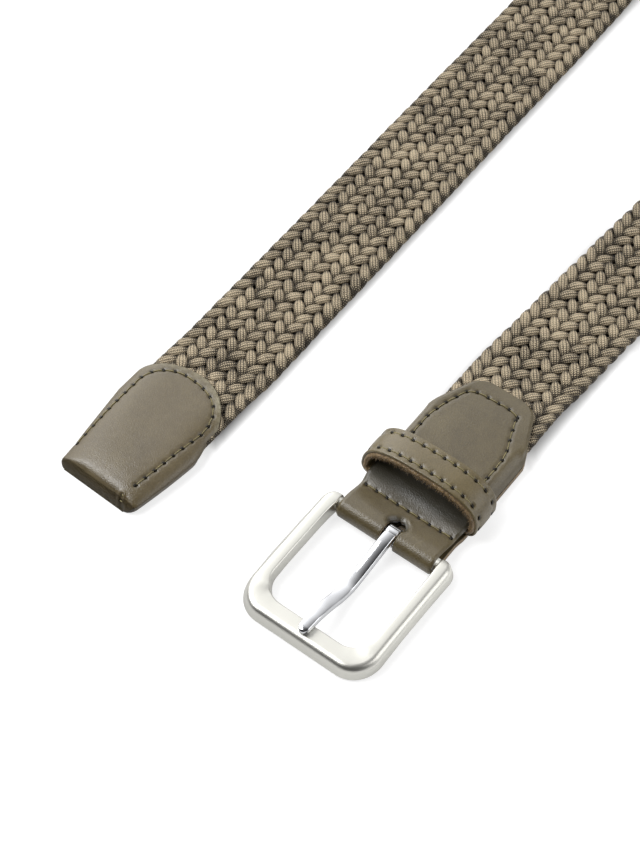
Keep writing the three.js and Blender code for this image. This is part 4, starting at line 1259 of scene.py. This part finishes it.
# %% The table
def add_table():
    """A pale sheet a hair under the belt. Its mark "open" is 0 under the braid and 1 around it, and
    only there the sheet glows, a painted light: white for the camera, at half for mirror rays;
    nothing shines up between the cords."""
    x, y = (np.concatenate([[-3000], np.arange(*span, 4.0), [3000]]) for span in ((-220, 140), (-120, 560)))
    grid = np.stack([*np.meshgrid(x, y[::-1]), np.full((len(y), len(x)), -0.02)], -1)
    middle = np.stack(route(np.arange(TAB_END - 8, ROUTE_LENGTH - TIP_LENGTH + 8, 4.0))[:2], -1)
    open_ground = smoothstep(nearest(grid[..., :2], middle), 14.5, 18.5)
    data = sheet_mesh("table", grid, {"open": open_ground})
    made = bpy.data.objects.new("table", data)
    bpy.context.scene.collection.objects.link(made)
    material = bpy.data.materials.new("table_white")
    material.use_nodes = True
    principled = material.node_tree.nodes["Principled BSDF"]
    tree = material.node_tree
    run = add(tree, "ShaderNodeSeparateXYZ", {0: add(tree, "ShaderNodeTexCoord").outputs["Object"]})
    # Painted light: to rays from the belt the table's grey grows lighter towards the back and right.
    back = calc(tree, "ADD", calc(tree, "MULTIPLY", run.outputs[1], 6.0),
                calc(tree, "MULTIPLY", run.outputs[0], 5.0))
    back = calc(tree, "ADD", back, 0.55, clamp=True)
    grey = blend_colour(tree, back, (0.35, 0.35, 0.35, 1.0), (0.8, 0.8, 0.8, 1.0))
    rays = add(tree, "ShaderNodeLightPath")
    seen = rays.outputs["Is Camera Ray"]
    free = add(tree, "ShaderNodeAttribute", attribute_name="open").outputs["Fac"]
    # Painted light: the table glows for camera rays, and at half for mirror rays, wherever the open mark is
    # 1.
    mirrored = calc(tree, "MULTIPLY", rays.outputs["Is Glossy Ray"], 0.5)
    glow = calc(tree, "MULTIPLY", calc(tree, "MAXIMUM", seen, mirrored), free)
    colour = blend_colour(tree, seen, grey, (0.4, 0.4, 0.4, 1.0))
    tree.links.new(colour, principled.inputs["Base Color"])
    tree.links.new(calc(tree, "MULTIPLY", glow, 0.72), principled.inputs["Emission Strength"])
    principled.inputs["Emission Color"].default_value = (1.0, 1.0, 1.0, 1.0)
    principled.inputs["Roughness"].default_value = 0.9
    principled.inputs["Specular IOR Level"].default_value = 0.1
    data.materials.append(material)
    return made


table = add_table()


# %% The lamps and the sky
def add_lamp(name, place, size, power, target=(-40.0, 40.0, 0.0)):
    """A square soft lamp; place, size and target in mm."""
    data = bpy.data.lights.new(name, "AREA")
    data.shape = "SQUARE"
    data.size = size * MM
    data.energy = power
    made = bpy.data.objects.new(name, data)
    bpy.context.scene.collection.objects.link(made)
    made.location = Vector(place) * MM
    made.rotation_euler = (Vector(target) - Vector(place)).to_track_quat("-Z", "Y").to_euler()
    return made


def add_sky(axis, glow, dim, horizon):
    """Sky brightness = dim + glow * max(d, 0)^6, with d the cosine to the axis, + 0.4 (2.2 y - 0.2)
    + horizon * (1 - 2 z) * (0.35 + 0.9 y + 0.5 x): a wide soft light, and a bright back."""
    world = bpy.data.worlds.new("studio")
    bpy.context.scene.world = world
    world.use_nodes = True
    tree = world.node_tree
    background = tree.nodes["Background"]
    direction = add(tree, "ShaderNodeTexCoord").outputs["Generated"]
    split = add(tree, "ShaderNodeSeparateXYZ", {0: direction})
    toward = add(tree, "ShaderNodeVectorMath", {0: direction, 1: Vector(axis).normalized()},
                 operation="DOT_PRODUCT").outputs["Value"]
    wide = calc(tree, "POWER", calc(tree, "MAXIMUM", toward, 0.0), 6.0)
    back = calc(tree, "ADD", calc(tree, "MULTIPLY", split.outputs[1], 0.9), 0.35)
    back = calc(tree, "ADD", back, calc(tree, "MULTIPLY", split.outputs[0], 0.5), clamp=True)
    low = calc(tree, "SUBTRACT", 1.0, calc(tree, "MULTIPLY", split.outputs[2], 2.0), clamp=True)
    edge = calc(tree, "MULTIPLY", calc(tree, "MULTIPLY", back, low), horizon)
    rear = calc(tree, "SUBTRACT", calc(tree, "MULTIPLY", split.outputs[1], 2.2), 0.2, clamp=True)
    total = calc(tree, "ADD", calc(tree, "ADD", calc(tree, "MULTIPLY", wide, glow), dim), edge)
    total = calc(tree, "ADD", total, calc(tree, "MULTIPLY", rear, 0.4))
    tree.links.new(total, background.inputs["Strength"])
    background.inputs["Color"].default_value = (1.0, 1.0, 1.0, 1.0)
    return world


add_lamp("front_lamp", (-500, -250, 740), 540, 6.6, (-50, -30, 0))
add_lamp("right_lamp", (620, 240, 560), 600, 2.2)
add_sky((-0.75, 0.4, 0.53), 2.5, 0.05, 0.5)
bpy.context.scene.view_settings.view_transform = "Standard"
bpy.context.scene.view_settings.look = "None"
